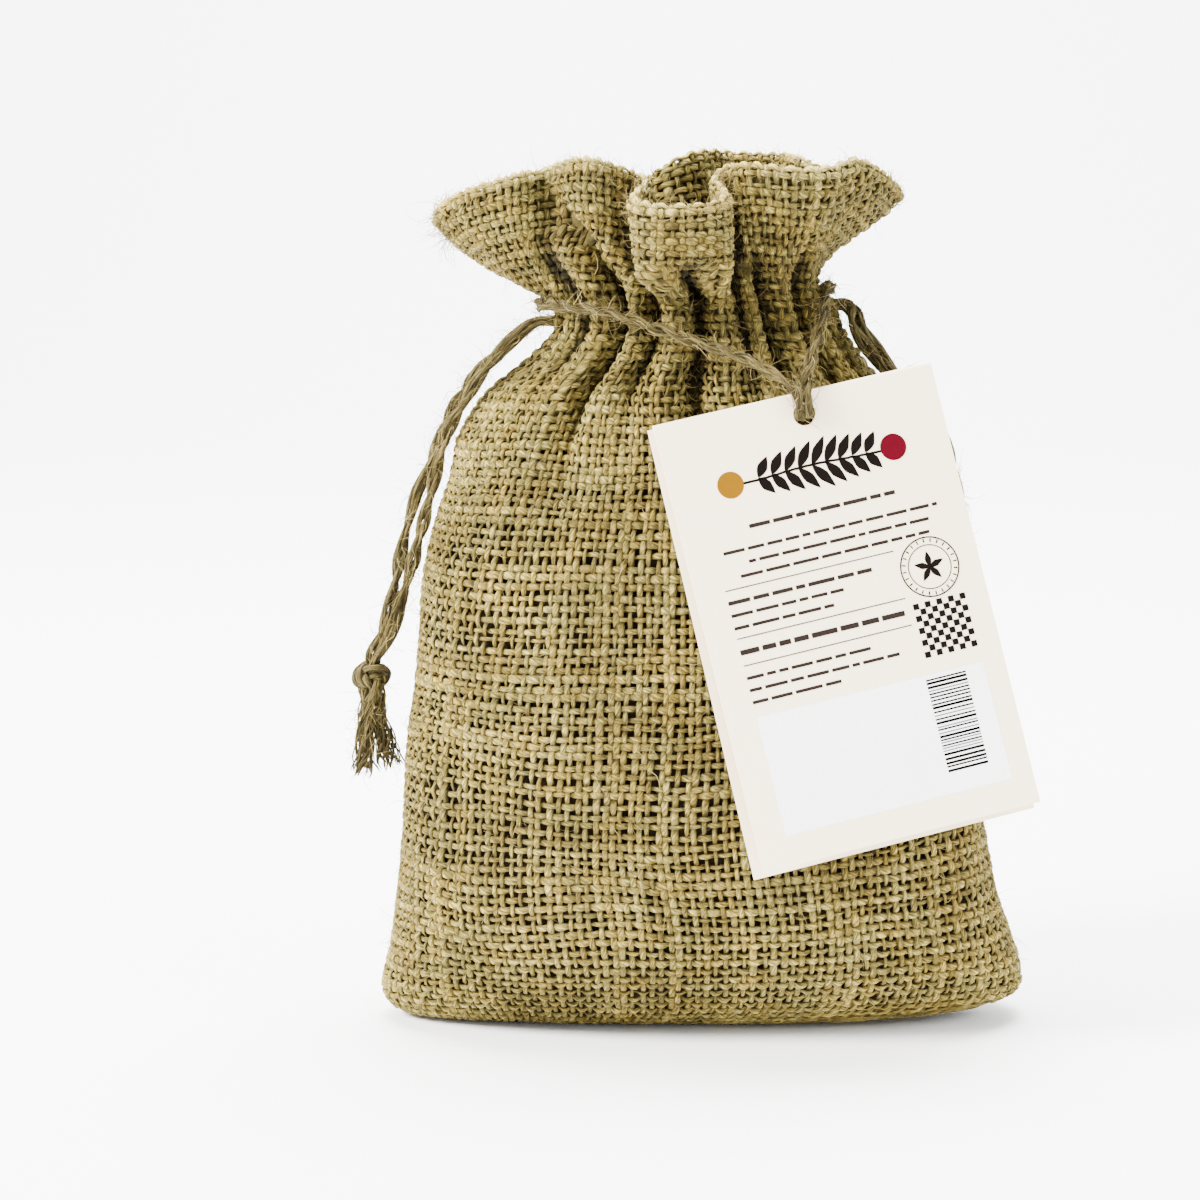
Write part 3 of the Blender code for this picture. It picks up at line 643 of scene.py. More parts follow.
outside = (  # height, half width to the right and to the left, half depth
    (0, 30, 52, 0.8), (0, 33, 56.5, 5.4), (0, 36, 60.5, 10), (1.5, 56, 64.7, 14.5),
    (5, 66.8, 67.4, 20), (9.5, 68.2, 67.3, 25.2), (16.5, 66.5, 65.5, 30.6), (28, 63, 64.1, 34.6),
    (48, 59.8, 62.3, 36), (70, 58.8, 60.2, 35.2), (90, 57.6, 58.3, 33.6),
    (104, 55, 55.3, 31.2), (115, 52, 51.9, 28.9), (122.5, 49.9, 50.4, 27.2),
    (128, 46.4, 47.7, 25.8), (132.5, 41.2, 44.4, 24.4), (136.5, 36.6, 39.4, 22.8),
    (140.5, 33.4, 34.4, 21), (145, 30.4, 30.8, 19.2), (149.5, 28.8, 30.4, 18.2),
)
pleatDepths = (  # how deep the creases are at each height
    (100, 0), (108, 0.1), (116, 0.6), (122, 1.3), (128, 2.7), (134, 5), (140, 7.6),
    (149.5, 9),
)
creases = (  # share of the way round the neck, and round the rim, depth, mm down, share of the ruffle
    (0.047, 0.030, 0.65, -3, 0.45), (0.0925, 0.082, 0.95, 0, 0.55), (0.154, 0.134, 1.05, 2, 0.50),
    (0.186, 0.164, 0.80, -6, 0.97), (0.248, 0.251, 1.60, 5, 0.45), (0.312, 0.332, 1.25, -3, 0.97),
    (0.359, 0.428, 1.30, 7, 0.97), (0.4180, 0.470, 0.50, -8, 0.45), (0.471, 0.505, 0.45, -7, 0.40),
    (0.527, 0.560, 0.45, -7, 0.40), (0.588, 0.600, 0.85, 1, 0.50), (0.645, 0.644, 1.00, 5, 0.97),
    (0.708, 0.700, 0.75, -2, 0.45), (0.763, 0.757, 1.15, 6, 0.97), (0.825, 0.820, 0.80, 0, 0.45),
    (0.884, 0.894, 1.05, 4, 0.97), (0.945, 0.940, 0.65, -3, 0.45),
)
rim = (  # from the right tip past the front to the left tip, then along the back
    (40.7, 0, 173), (37, -8.5, 176.4), (31.8, -15, 179), (26.5, -18.5, 177.8),
    (18, -20.5, 177.6), (10.9, -20.5, 178.2), (6.8, -17.5, 178), (4.6, -14, 177.4),
    (3.8, -19.5, 175.2), (5.6, -26, 172.4), (3.2, -31, 171), (-3.9, -32.6, 170.4),
    (-10.8, -31.6, 170.8), (-13.6, -26.4, 171.8), (-11.2, -19.6, 174.8), (-13, -14.4, 176.8),
    (-16.6, -17.4, 177.8), (-20, -20.2, 179), (-24.2, -19.5, 179.4), (-28, -14.5, 178.8),
    (-30.4, -9.5, 178), (-33.6, -11, 177.2), (-37.6, -13.2, 176.2), (-43.6, -12.4, 173.8),
    (-49.8, -8.4, 170.8), (-54.4, -0.6, 167), (-51.4, 7.4, 169), (-45, 12.6, 171.6),
    (-37.2, 13.6, 173.4), (-30.6, 10.6, 174.6), (-26.4, 16.4, 173.8), (-20.4, 23.4, 173),
    (-12.6, 24.4, 174.2), (-7.2, 18.2, 177.4), (-2.2, 20.4, 179.8), (4, 26.4, 180.2),
    (12.6, 28.4, 180), (18.8, 24.4, 179.8), (22.4, 17.4, 178.6), (27.6, 17.6, 175.6),
    (34, 18.2, 172.6), (39.2, 12, 171.8), (41.4, 5.6, 172.2),
)
# where a lobe of the rim hangs out over the neck, how wide it is, how much it does so
overhangs = ((0.245, 0.058, 0.95), (0.120, 0.050, 0.35), (0.385, 0.038, 0.25), (0.800, 0.090, 0.40))
ovalSteps = 2880  # points round each plain oval
fineSteps = 1020  # points round each ring before the yarns are spaced along its folds
columns = 2 * pouch["warps"]
fineShares = (np.arange(fineSteps) + 0.5) / fineSteps
columnShares = (np.arange(columns) + 0.5) / columns
neckShare, rimShare, creaseDepth, creaseRun, creaseReach = np.array(creases).T


def outlineRing(right, left, depth, power):
    angle = np.linspace(0, 2 * math.pi, ovalSteps, endpoint=False)
    cosine, sine = np.cos(angle), np.sin(angle)
    x = np.where(cosine > 0, right, left) * np.sign(cosine) * np.abs(cosine) ** (2 / power)
    y = -depth * np.sign(sine) * np.abs(sine) ** (2 / power)
    return evenRing(np.stack([x, y], axis=1), fineSteps)


def creasedBy(places, depths, power):  # how far the creases at these shares of the ring draw each point in
    wrapped = np.concatenate([[places[-1] - 1], places, [places[0] + 1]])
    phase = np.interp(fineShares, wrapped, np.arange(-1, len(places) + 1) + 0.5)
    own = depths[np.floor(phase).astype(int) % len(places)]
    return own * (1 - np.abs(np.cos(math.pi * phase)) ** power)


def alongFolds(ring, places):  # each fold keeps its own yarns, evenly spaced over it
    wrapped = np.concatenate([places[-2:] - 1, places, places[:2] + 1])
    crests = (wrapped[1:] + wrapped[:-1]) / 2
    pad = fineSteps // 4
    run = np.concatenate([ring[-pad:], ring, ring[:pad]])
    shares = np.concatenate([fineShares[-pad:] - 1, fineShares, fineShares[:pad] + 1])
    along = distances(run)
    number = np.clip(np.searchsorted(crests, columnShares) - 1, 0, len(crests) - 2)
    part = (columnShares - crests[number]) / (crests[number + 1] - crests[number])
    marks = np.interp(crests, shares, along)
    return readAt(marks[number] + part * (marks[number + 1] - marks[number]), along, run)


def bodyRing(row):
    height, right, left, depth = row
    blend = eased(height, pouch["powerFrom"], pouch["powerTo"])
    power = pouch["bodyPower"] + (pouch["neckPower"] - pouch["bodyPower"]) * blend
    ring = outlineRing(right, left, depth, power)
    heights, deep = np.array(pleatDepths).T
    depths = creaseDepth * np.interp(height + creaseRun * eased(145 - height, 0, 15), heights, deep)
    ring = ring - outward(ring) * creasedBy(neckShare, depths, pouch["creasePower"])[:, None]
    return alongFolds(np.column_stack([ring, np.full(fineSteps, max(height, 0.0))]), neckShare)


rimRing = evenRing(smoothCurve(rim, 0.5, closed=True)[:-1], fineSteps)


def ruffleRing(share):  # 0 at the neck, 1 at the rim
    height, right, left, depth = outside[-1]
    neck = outlineRing(right, left, depth, pouch["neckPower"])
    neckOut = outward(neck)
    neck = neck - neckOut * pouch["pleatedWall"] / 2
    lean = np.full(fineSteps, share)
    for middle, width, amount in overhangs:
        window = np.exp(-(((fineShares - middle) / width) ** 4))
        lean = lean + amount * window * (eased(share, *pouch["leanSpan"]) - share)
    level = neck + (rimRing[:, :2] - neck) * lean[:, None]
    halfway = math.sin(math.pi * share)
    waist = max(math.sin(math.pi * share ** pouch["waistAt"]), 0.0) ** pouch["waistPower"]
    swell = halfway * (pouch["ruffleSwell"] + pouch["leftSwell"] * np.maximum(-neck[:, 0] / left, 0) ** 4)
    swell = swell - pouch["rightWaist"] * waist * np.maximum(neck[:, 0] / right, 0) ** 3
    places = neckShare + (rimShare - neckShare) * eased(share, *pouch["rimSpan"])
    fade = np.cos(math.pi / 2 * np.clip(share / creaseReach, 0, 1)) ** pouch["fadePower"]
    power = pouch["creasePower"] + pouch["creaseWidens"] * eased(share, *pouch["widenSpan"])
    drawn = creasedBy(places, creaseDepth * pleatDepths[-1][1] * fade, power)
    notch = np.exp(-(((fineShares - pouch["notchAt"]) / pouch["notchHalf"]) ** 2))
    notch = notch * pouch["notchDepth"] * eased(share, *pouch["notchFrom"])
    drawn = drawn + notch * (1 - eased(share, *pouch["notchTo"]))
    turn = eased(share, *pouch["turnSpan"])
    out = unit(neckOut * (1 - turn) + outward(level) * turn)
    half = pouch["pleatedWall"] / 2 + (pouch["hemHalf"] - pouch["pleatedWall"] / 2) * turn
    level = level + neckOut * swell[:, None] + out * (half - drawn)[:, None]
    ring = np.column_stack([level, height + (rimRing[:, 2] - height) * share])
    return alongFolds(ring, places)


def gridNormals(grid, reach=1):
    upward = np.gradient(grid, axis=0)
    around = np.roll(grid, -reach, axis=1) - np.roll(grid, reach, axis=1)
    return unit(np.cross(upward, around))


def softened(values, times):  # blurred over its neighbours in the grid
    for _ in range(times):
        values = (np.roll(values, 1, axis=1) + 2 * values + np.roll(values, -1, axis=1)) / 4
        values[1:-1] = (values[:-2] + 2 * values[1:-1] + values[2:]) / 4
    return values


# the rim and fold entries, and those for the neck, set painted light and shade: a painted highlight along the
# rim's fold, painted shade over the drawn neck and deeper in its folds
yarns = {
    "warpRadius": 0.64, "weftRadius": 0.74, "flatness": 0.58, "lift": 0.34, "endRadius": 0.05,
    "uneven": 0.16, "slub": 0.16, "stray": 0.18, "wander": 0.15, "strayMost": 0.5, "thickness": (0.55, 1.45),
    "odd": (0.0, 0.28, -0.26), "oddShares": (0.86, 0.07, 0.07), "openPitch": 2.0, "openSwell": 1.6,
    "section": (-18.0, 58.0, 122.0, 198.0), "rimHighlightGain": 1.3, "foldReach": 5, "foldDepth": 1.7, "foldShadeGain": 3.0,
    "neckShadeGain": 0.55, "shadeFrom": (124.0, 144.0), "shadeTo": (158.0, 171.0), "shadeFall": 0.85, "seed": 7,
}
press = {"gap": 0.1, "farthest": 8.0, "highest": 5.0, "leftFrom": 33.0, "rightFrom": 31.0}
crown = yarns["lift"] + yarns["weftRadius"] * yarns["flatness"]  # from the cloth's middle to its top


def pressedIn(grid, normals, path, radius, outsideOf):  # how far the cloth gives way under a cord
    points = path[np.abs(path[:, 0]) > outsideOf]
    tree = KDTree(len(points))
    for i, p in enumerate(points):
        tree.insert(p, i)
    tree.balance()
    needed = radius + crown + press["gap"]
    push = np.zeros(grid.shape[:2])
    for r in np.flatnonzero(grid[:, :, 2].max(axis=1) > points[:, 2].min() - 2):
        for c in range(columns):
            spot, _, distance = tree.find(grid[r, c])
            if distance > press["farthest"]:
                continue
            away = grid[r, c] - np.array(spot)
            high = away @ normals[r, c]
            aside = needed**2 - (away @ away - high * high)
            if aside > 0 and -needed < high < press["highest"]:
                push[r, c] = max(high + math.sqrt(aside), 0.0)
    return push


def openEyelets(grid):  # the yarns are pushed apart where a drawstring comes out
    for side, height in ((-1, cords["leftSlit"]), (1, cords["rightSlit"])):
        away = grid - np.array([side * pouch["eyeletAt"], 0, height])
        away[..., 0] *= 0.15
        flat = np.linalg.norm(away, axis=-1, keepdims=True)
        near = (side * grid[..., :1] > 0) * np.exp(-((flat / pouch["eyeletReach"]) ** 2))
        step = unit(away) * (np.sqrt(flat**2 + pouch["eyeletOpens"] ** 2 * near) - flat)
        step[..., 0] = 0
        grid = grid + step
    return grid


def unevenWeave(grid, normals):  # soft ripples, and weave lines that wander a little
    shape = grid.shape[:2]
    height = grid[..., 2]
    tight = pouch["tightShare"] * eased(height, *pouch["tightSpan"])
    free = eased(height, *pouch["looseSpan"]) * (1 - tight)
    scale = 1 / pouch["rippleLength"]
    points = [Vector(p) * scale for p in grid.reshape(-1, 3)]
    shifts = [Vector((k * 7.3, 0, 0)) for k in range(3)]
    fields = [np.array([noise.noise(p + shift) for p in points]).reshape(shape) for shift in shifts]
    upward = unit(np.gradient(grid, axis=0))
    sideways = unit(np.roll(grid, -1, axis=1) - np.roll(grid, 1, axis=1))
    bow = np.sin(np.pi * np.clip(height / pouch["riseHeight"], 0, 1))
    rise = pouch["rightRise"] * eased(grid[..., 0], *pouch["riseSpan"]) * bow
    moved = grid + normals * (free * pouch["rippleHeight"] * 2 * fields[0])[..., None]
    moved = moved + upward * (free * pouch["weaveDrift"] * 2 * fields[1] + rise)[..., None]
    return moved + sideways * (free * pouch["weaveDrift"] * 2 * fields[2])[..., None]


def clothGrid():  # up the outside, over the rim and down the inside to the end of the casing
    rows = smoothCurve(outside, count=2 * pouch["bodyWefts"], weights=(1, 0, 0, pouch["depthWeight"]))
    rows = (rows[1:] + rows[:-1]) / 2
    outer = [bodyRing(row) for row in rows]
    shares = (np.arange(2 * pouch["ruffleWefts"]) + 0.5) / (2 * pouch["ruffleWefts"])
    outer = np.array(outer + [ruffleRing(share) for share in shares])
    outer = openEyelets(unevenWeave(outer, gridNormals(outer, 2)))
    normals = gridNormals(outer, 2)
    outer = outer - normals * crown
    radius, tagRadius = cords["diameter"] * twine["swell"] / 2, cords["tagDiameter"] * twine["tagSwell"] / 2
    pressing = ((leftLine, radius, press["leftFrom"]), (rightLine, radius, press["rightFrom"]),
                (tagLine, tagRadius, 0.0))
    push = np.max([pressedIn(outer, normals, *cord) for cord in pressing], axis=0)
    push = np.maximum(push, softened(push, 3))
    outer = outer - normals * push[..., None]
    normals = gridNormals(outer, 3)
    depth = 2 * (pouch["ruffleWefts"] + pouch["casingWefts"]) - 1
    inner = (outer - normals * pouch["lining"])[-depth:][::-1]
    inner = (inner + np.roll(inner, -1, axis=1)) / 2  # its yarns stand behind the gaps of the outer layer
    over = np.array([0, 0, pouch["hemRound"]])
    fold = [outer[-1] * (1 - part) + inner[0] * part + over * math.sin(math.pi * part)
            for part in (0.25, 0.5, 0.75)]
    return np.concatenate([outer, fold, inner])


def hollows(grid, normals):  # 1 in the bottom of a deep fold, 0 on open cloth: the mask for painted shade in the folds
    beside = (np.roll(grid, yarns["foldReach"], axis=1) + np.roll(grid, -yarns["foldReach"], axis=1)) / 2
    deep = ((beside - grid) * normals).sum(-1) / yarns["foldDepth"]
    return softened(np.clip(deep, 0, 1.2), 2)


def foldShade(grid, normals):  # painted shade: the drawn neck is painted darker, in its folds most of all
    height = grid[..., 2]
    drawn = eased(height, *yarns["shadeFrom"]) * (1 - yarns["shadeFall"] * eased(height, *yarns["shadeTo"]))
    return drawn * (yarns["foldShadeGain"] * hollows(grid, normals) + yarns["neckShadeGain"])


grid = clothGrid()
normals = gridNormals(grid)
rowCount = len(grid)
weftCount = rowCount // 2
rimWeft = pouch["bodyWefts"] + pouch["ruffleWefts"]
print(f"cloth grid: {rowCount} rows of {columns}")


def weaveLines(rng, line, normal, across, number, radius):
    count, length = line.shape[:2]
    lift = np.where(number % 2 == 0, 1.0, -1.0) * yarns["lift"]
    stray = yarns["stray"] * rng.normal(size=(count, 1)) + yarns["wander"] * drift(rng, count, length, 9)
    stray = np.clip(stray, -yarns["strayMost"], yarns["strayMost"])
    line = line + normal * lift[..., None] + across * stray[..., None]
    odd = rng.choice(yarns["odd"], size=(count, 1), p=yarns["oddShares"])
    thick = 1 + odd + yarns["uneven"] * rng.normal(size=(count, 1))
    thick = thick + yarns["slub"] * drift(rng, count, length, 5)
    return line, normal, lift, radius * np.clip(thick, *yarns["thickness"])


def warpLines(rng):
    line = (grid[:, 0::2] + grid[:, 1::2]).swapaxes(0, 1) / 2
    normal = unit((normals[:, 0::2] + normals[:, 1::2]).swapaxes(0, 1))
    across = unit((grid[:, 1::2] - grid[:, 0::2]).swapaxes(0, 1))
    number = np.arange(pouch["warps"])[:, None] + np.arange(rowCount)[None] // 2
    pitch = 2 * np.linalg.norm(grid[:, 1::2] - grid[:, 0::2], axis=-1).T
    swollen = np.clip(pitch / yarns["openPitch"], 1, yarns["openSwell"])  # where the folds spread the weave
    return weaveLines(rng, line, normal, across, number, yarns["warpRadius"] * swollen)


def weftLines(rng):
    line = (grid[0::2] + grid[1::2]) / 2
    normal = unit(normals[0::2] + normals[1::2])
    across = unit(grid[1::2] - grid[0::2])
    number = 1 + np.arange(weftCount)[:, None] + np.arange(columns)[None] // 2
    return weaveLines(rng, line, normal, across, number, yarns["weftRadius"])


def yarnPiece(name, chosen, lines, paintedLight, closed):
    line, normal, lift, radius = (part[chosen] for part in lines)
    radius = radius.copy()
    if not closed:
        radius[:, [0, -1]] = yarns["endRadius"]
    turns = np.radians(yarns["section"])  # round on the face that shows, flat underneath
    sides = len(turns)
    mesh = strandMesh(name, line, radius, closed, sides)
    places = np.empty(len(mesh.vertices) * 3, np.float32)
    mesh.vertices.foreach_get("co", places)
    away = places.reshape(*line.shape[:2], sides, 3) / mm - line[:, :, None]
    ahead = np.roll(line, -1, axis=1) - np.roll(line, 1, axis=1) if closed else np.gradient(line, axis=1)
    aside = unit(np.cross(ahead, normal))
    across, high = ((away * part[:, :, None]).sum(-1) for part in (aside, normal))
    winding = (across * np.roll(high, -1, axis=2) - np.roll(across, -1, axis=2) * high).sum()
    turns = turns if winding > 0 else turns[::-1]
    wide = radius[:, :, None] * np.cos(turns)
    high = radius[:, :, None] * np.sin(turns) * yarns["flatness"]
    places = line[:, :, None] + aside[:, :, None] * wide[..., None] + normal[:, :, None] * high[..., None]
    places[..., 2] = np.maximum(places[..., 2], 0.0)
    mesh.vertices.foreach_set("co", (places * mm).astype(np.float32).ravel())
    # painted light and shade: each yarn is painted paler on its crown and darker low down where it dives
    # under, plus the painted rim highlight and fold shade of its place on the cloth
    raised = (lift[:, :, None] + high).reshape(-1, sides) / crown
    layer = mesh.attributes.new("paintedLight", "FLOAT", "POINT")
    layer.data.foreach_set("value", (raised + paintedLight[chosen].reshape(-1, 1)).astype(np.float32).ravel())
    lengths = np.linalg.norm(np.diff(line, axis=1), axis=-1).sum(1)
    strandMaps(mesh, lengths, sides, [line.shape[1]] * len(line))
    closeEnds(mesh)
    mesh.update()
    return finished(linkMesh(name, mesh, juteCloth), "jute_cloth", "bag_cloth")


rng = np.random.default_rng(yarns["seed"])
warps = warpLines(rng)
wefts = weftLines(rng)
# painted highlight: the yarns along the rim's fold are painted paler, as if the fold caught the light
rimHighlight = yarns["rimHighlightGain"] * np.exp(-((np.arange(rowCount) - 2 * rimWeft - 0.5) / 2.0) ** 2)
# painted highlight at the rim less painted shade in the neck, as a tone for each point of the grid
paintedLightTone = rimHighlight[:, None] - foldShade(grid, normals)
warpPaintedLight = (paintedLightTone[:, 0::2] + paintedLightTone[:, 1::2]).T / 2
weftPaintedLight = (paintedLightTone[0::2] + paintedLightTone[1::2]) / 2
quarter, half = pouch["warps"] // 4, pouch["bodyWefts"] // 2
for k, place in enumerate(("front_right", "front_left", "back_left", "back_right")):
    yarnPiece(f"warp_yarns_{place}", slice(k * quarter, (k + 1) * quarter), warps, warpPaintedLight, False)
for place, chosen in (("lower", (0, half)), ("upper", (half, 2 * half)), ("ruffle", (2 * half, None))):
    yarnPiece(f"weft_yarns_{place}", slice(*chosen), wefts, weftPaintedLight, True)
print("yarns woven")

shadeSheet = {  # rows of the grid where it starts and ends, and its look, dark as painted shade
    "low": 132, "top": 188, "step": 4, "thick": 0.1, "noise": {"Scale": 500.0, "Detail": 4.0},
    "colours": ((0.35, (0.018, 0.013, 0.003)), (0.65, (0.060, 0.046, 0.011))),
}


def ruffleShadeSheet():  # a sheet of painted shade between the ruffle's two layers, so that no light shows through its folds
    rows = (shadeSheet["top"] - shadeSheet["low"]) // shadeSheet["step"]
    turns = pouch["warps"]
    bm = bmesh.new()
    bmesh.ops.create_grid(bm, x_segments=turns, y_segments=rows, size=1.0)
    for v in bm.verts:
        column = round((v.co.x + 1) / 2 * turns) * 2 % columns
        row = shadeSheet["low"] + shadeSheet["step"] * round((v.co.y + 1) / 2 * rows)
        v.co = Vector((grid[row, column] - normals[row, column] * pouch["lining"] / 2) * mm)
    bmesh.ops.remove_doubles(bm, verts=bm.verts, dist=0.00001)
    bmesh.ops.recalc_face_normals(bm, faces=bm.faces)
    bmesh.ops.solidify(bm, geom=bm.faces, thickness=shadeSheet["thick"] * mm)
    bmesh.ops.recalc_face_normals(bm, faces=bm.faces)
    piece = meshPiece("ruffle_shade_sheet", bm, mottledMaterial("painted_shade_sheet", shadeSheet))
    finished(piece, "jute_cloth", "bag_cloth")


ruffleShadeSheet()
print("ruffle lined")


# Loose fibres on the cloth and the cords

fuzz = {  # how many fibres, the longest in mm, how steeply they may stand and how many points each has
    "short": (1500, 3.2, 0.9, 3), "long": (1900, 7.0, 1.4, 4), "onRim": (1450, 3.6, 1.6, 4),
    "onTip": (90, 7.5, 2.0, 4), "onCords": (6.5, 0.8, 4), "tipAt": 0.534,
    "onLeft": 840, "onRight": 520, "onTagString": 640, "onTail": 105, "sunk": 0.42, "rootLift": 0.35,
    "radius": 0.065, "thickness": (0.6, 1.35), "taper": (1.0, 0.35), "scatter": 0.55, "curl": 0.5,
    "droop": 0.15, "seed": 19,
}


def fibreLines(rng, roots, outs, alongs, longest, rise, points):
    count = len(roots)
    length = longest * rng.uniform(0.3, 1, (count, 1))
    heading = unit(alongs * rng.choice([-1, 1], (count, 1)) + outs * rng.uniform(0.05, rise, (count, 1))
                   + fuzz["scatter"] * rng.normal(size=(count, 3)))
    curl = rng.normal(size=(count, 3))
    lines = [roots - outs * 0.1]
    for _ in range(points - 1):
        lines.append(lines[-1] + heading * length / (points - 1))
        heading = unit(heading + curl * fuzz["curl"] - outs * fuzz["droop"])
    lines = np.stack(lines, axis=1)
    lines[..., 2] = np.maximum(lines[..., 2], 0.1)
    return lines


def fibrePiece(name, lines, rng, slotName):
    thins = np.linspace(*fuzz["taper"], lines.shape[1])
    radii = fuzz["radius"] * rng.uniform(*fuzz["thickness"], (len(lines), 1)) * thins
    return finished(strandPiece(name, lines, radii, juteFuzz, sides=3), slotName)


def clothFibres(name, rng, look, warpSpan, rows):
    line, normal, _, _ = warps
    pick = rng.integers(*warpSpan, look[0]), rng.integers(*rows, look[0])
    ahead = unit(np.gradient(line, axis=1))[pick]
    roots = line[pick] + normal[pick] * fuzz["rootLift"]
    fibrePiece(name, fibreLines(rng, roots, normal[pick], ahead, *look[1:]), rng, "jute_cloth")


def cordFibres(rng):
    roots, outs, alongs = [], [], []
    bare = [(leftLine, 2.6, fuzz["onLeft"]), (rightLine, 2.6, fuzz["onRight"]),
            (tagLine, 2.3, fuzz["onTagString"])]
    for knotPlace, routes in ((leftKnot, leftTails), (rightKnot, rightTails)):
        bare += [(smoothCurve([knotPlace, *route], 1.0), 3.4, fuzz["onTail"]) for route in routes]
    for path, diameter, number in bare:
        spot = rng.integers(1, len(path) - 1, number)
        ahead = unit(np.gradient(path, axis=0))[spot]
        out = unit(np.cross(ahead, rng.normal(size=(number, 3))))
        roots.append(path[spot] + out * diameter * fuzz["sunk"])
        outs.append(out)
        alongs.append(ahead)
    roots, outs, alongs = (np.concatenate(part) for part in (roots, outs, alongs))
    fibrePiece("cord_fuzz", fibreLines(rng, roots, outs, alongs, *fuzz["onCords"]), rng, "jute_twine")


rng = np.random.default_rng(fuzz["seed"])
allRound, tip, rimRow = (0, pouch["warps"]), int(fuzz["tipAt"] * pouch["warps"]), 2 * rimWeft
clothFibres("cloth_fuzz_short", rng, fuzz["short"], allRound, (20, rowCount - 24))
clothFibres("cloth_fuzz_long", rng, fuzz["long"], allRound, (20, rowCount - 24))
clothFibres("rim_fray", rng, fuzz["onRim"], allRound, (rimRow - 3, rimRow + 4))
clothFibres("tip_fray", rng, fuzz["onTip"], (tip - 3, tip + 3), (rimRow - 8, rimRow + 4))
cordFibres(rng)
print("loose fibres added")


# The imported contents, seen only as a dark mass between the yarns; their near-black colour is the contents'
# own, darkened into painted shade of the pouch's inside

filling = {  # heights in metres
    "swell": 0.8, "bump": 0.35, "bumpScale": 160, "clear": 0.0016, "narrows": 0.16,
    "narrowsFrom": 0.095, "narrowsTo": 0.125, "noise": {"Scale": 90.0, "Detail": 5.0},
    "colours": ((0.3, (0.009, 0.006, 0.002)), (0.7, (0.030, 0.020, 0.007))),
}


def fillingPiece():
    bm = bmesh.new()
    bm.from_mesh(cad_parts["filling"].data)
    bmesh.ops.remove_doubles(bm, verts=bm.verts, dist=0.00001)
    bmesh.ops.subdivide_edges(bm, edges=bm.edges, cuts=2, use_grid_fill=True)
    bmesh.ops.recalc_face_normals(bm, faces=bm.faces)
    bm.normal_update()
    for v in bm.verts:
        rough = filling["bump"] * (1 + noise.noise(v.co * filling["bumpScale"]))
        v.co += v.normal * mm * (filling["swell"] - rough)
        v.co.z = max(v.co.z, filling["clear"])
        v.co.xy *= 1 - filling["narrows"] * float(eased(v.co.z, filling["narrowsFrom"], filling["narrowsTo"]))
    piece = meshPiece("filling_mass", bm, mottledMaterial("packed_contents", filling))
    finished(piece, "packed_contents", "filling")


fillingPiece()
print("filling made")


# The tag: the card is the frame's own, with paper and print on it

card = {
    "paper": (0.93, 0.80, 0.58), "dark": (0.89, 0.755, 0.535), "roughness": 0.62, "grain": 900.0,
    "grainDetail": {"Detail": 4.0, "Roughness": 0.7}, "blotches": {"Scale": 30.0, "Detail": 2.0},
    "bump": {"Strength": 0.25, "Distance": 0.00005}, "beyondLeft": 1.1, "beyondLow": 1.3,
    "leafAngle": 3.0, "foldHalf": 0.65, "leafLength": 90.05, "thick": 0.36,
}
ink = {
    "brown": (0.0030, 0.0016, 0.0012), "soft": (0.014, 0.0095, 0.0075), "mustard": (0.150, 0.066, 0.0002),
    "crimson": (0.060, 0.0003, 0.0050), "specular": 0.04,
    "panel": (0.97, 0.97, 0.97), "darkShare": 0.9, "lift": 0.035, "seed": 23,
}


def cardMaterial(name, paper, dark, specular=0.15):
    made, tree, shader = newMaterial(name, card["roughness"], specular)
    spot = addNode(tree, "TexCoord").outputs["Object"]
    grain = addNode(tree, "TexNoise", {"Vector": spot, "Scale": card["grain"], **card["grainDetail"]})
    broad = addNode(tree, "TexNoise", {"Vector": spot, **card["blotches"]})
    both = addMath(tree, "ADD", *(addMath(tree, "MULTIPLY", part.outputs["Fac"], 0.5)
                                  for part in (grain, broad)))
    bump = addNode(tree, "Bump", {"Height": grain.outputs["Fac"], **card["bump"]})
    setInputs(shader, {"Base Color": addRamp(tree, both, ((0.30, dark), (0.62, paper))),
                       "Normal": bump.outputs["Normal"]})
    return made


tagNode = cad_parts["tag"]
tagNode.data.materials.clear()
tagNode.data.materials.append(cardMaterial("tag_card", card["paper"], card["dark"]))


def backLeafEdge():  # the back leaf is cut a little larger, and shows past the front one at two sides
    left, right, low = -tagPlace["width"] / 2, tagPlace["width"] / 2, -card["leafLength"]
    pastLeft, pastLow = left - card["beyondLeft"], low - card["beyondLow"]
    outline = ((pastLeft, 0.0), (left + 0.1, 0.0), (left + 0.1, low + 0.1), (right, low + 0.1),
               (right, pastLow), (pastLeft, pastLow))
    bm = bmesh.new()
    face = bm.faces.new([bm.verts.new((x, 0, z)) for x, z in outline])
    grown = bmesh.ops.extrude_face_region(bm, geom=[face], use_keep_orig=True)
    moved = [item for item in grown["geom"] if isinstance(item, bmesh.types.BMVert)]
    bmesh.ops.translate(bm, vec=(0, -card["thick"], 0), verts=moved)
    bmesh.ops.recalc_face_normals(bm, faces=bm.faces)
    swung = Matrix.Rotation(math.radians(card["leafAngle"]), 4, "X")
    fold = Matrix.Translation((0, 2 * card["foldHalf"], tagPlace["height"] / 2 - card["foldHalf"]))
    bmesh.ops.transform(bm, verts=bm.verts, matrix=tagMatrix() @ Matrix.Scale(mm, 4) @ fold @ swung)
    finished(meshPiece("tag_back_edge", bm, tagNode.data.materials[0], flat=True), "tag_card")


backLeafEdge()


def onTag(u, v):  # shares of the card's width and height, from its top left corner, to mm on its face
    return (u - 0.5) * tagPlace["width"], (0.5 - v) * tagPlace["height"]


def boxOnTag(key):
    left, top, right, low = prints[key]
    return *onTag(left, top), *onTag(right, low)


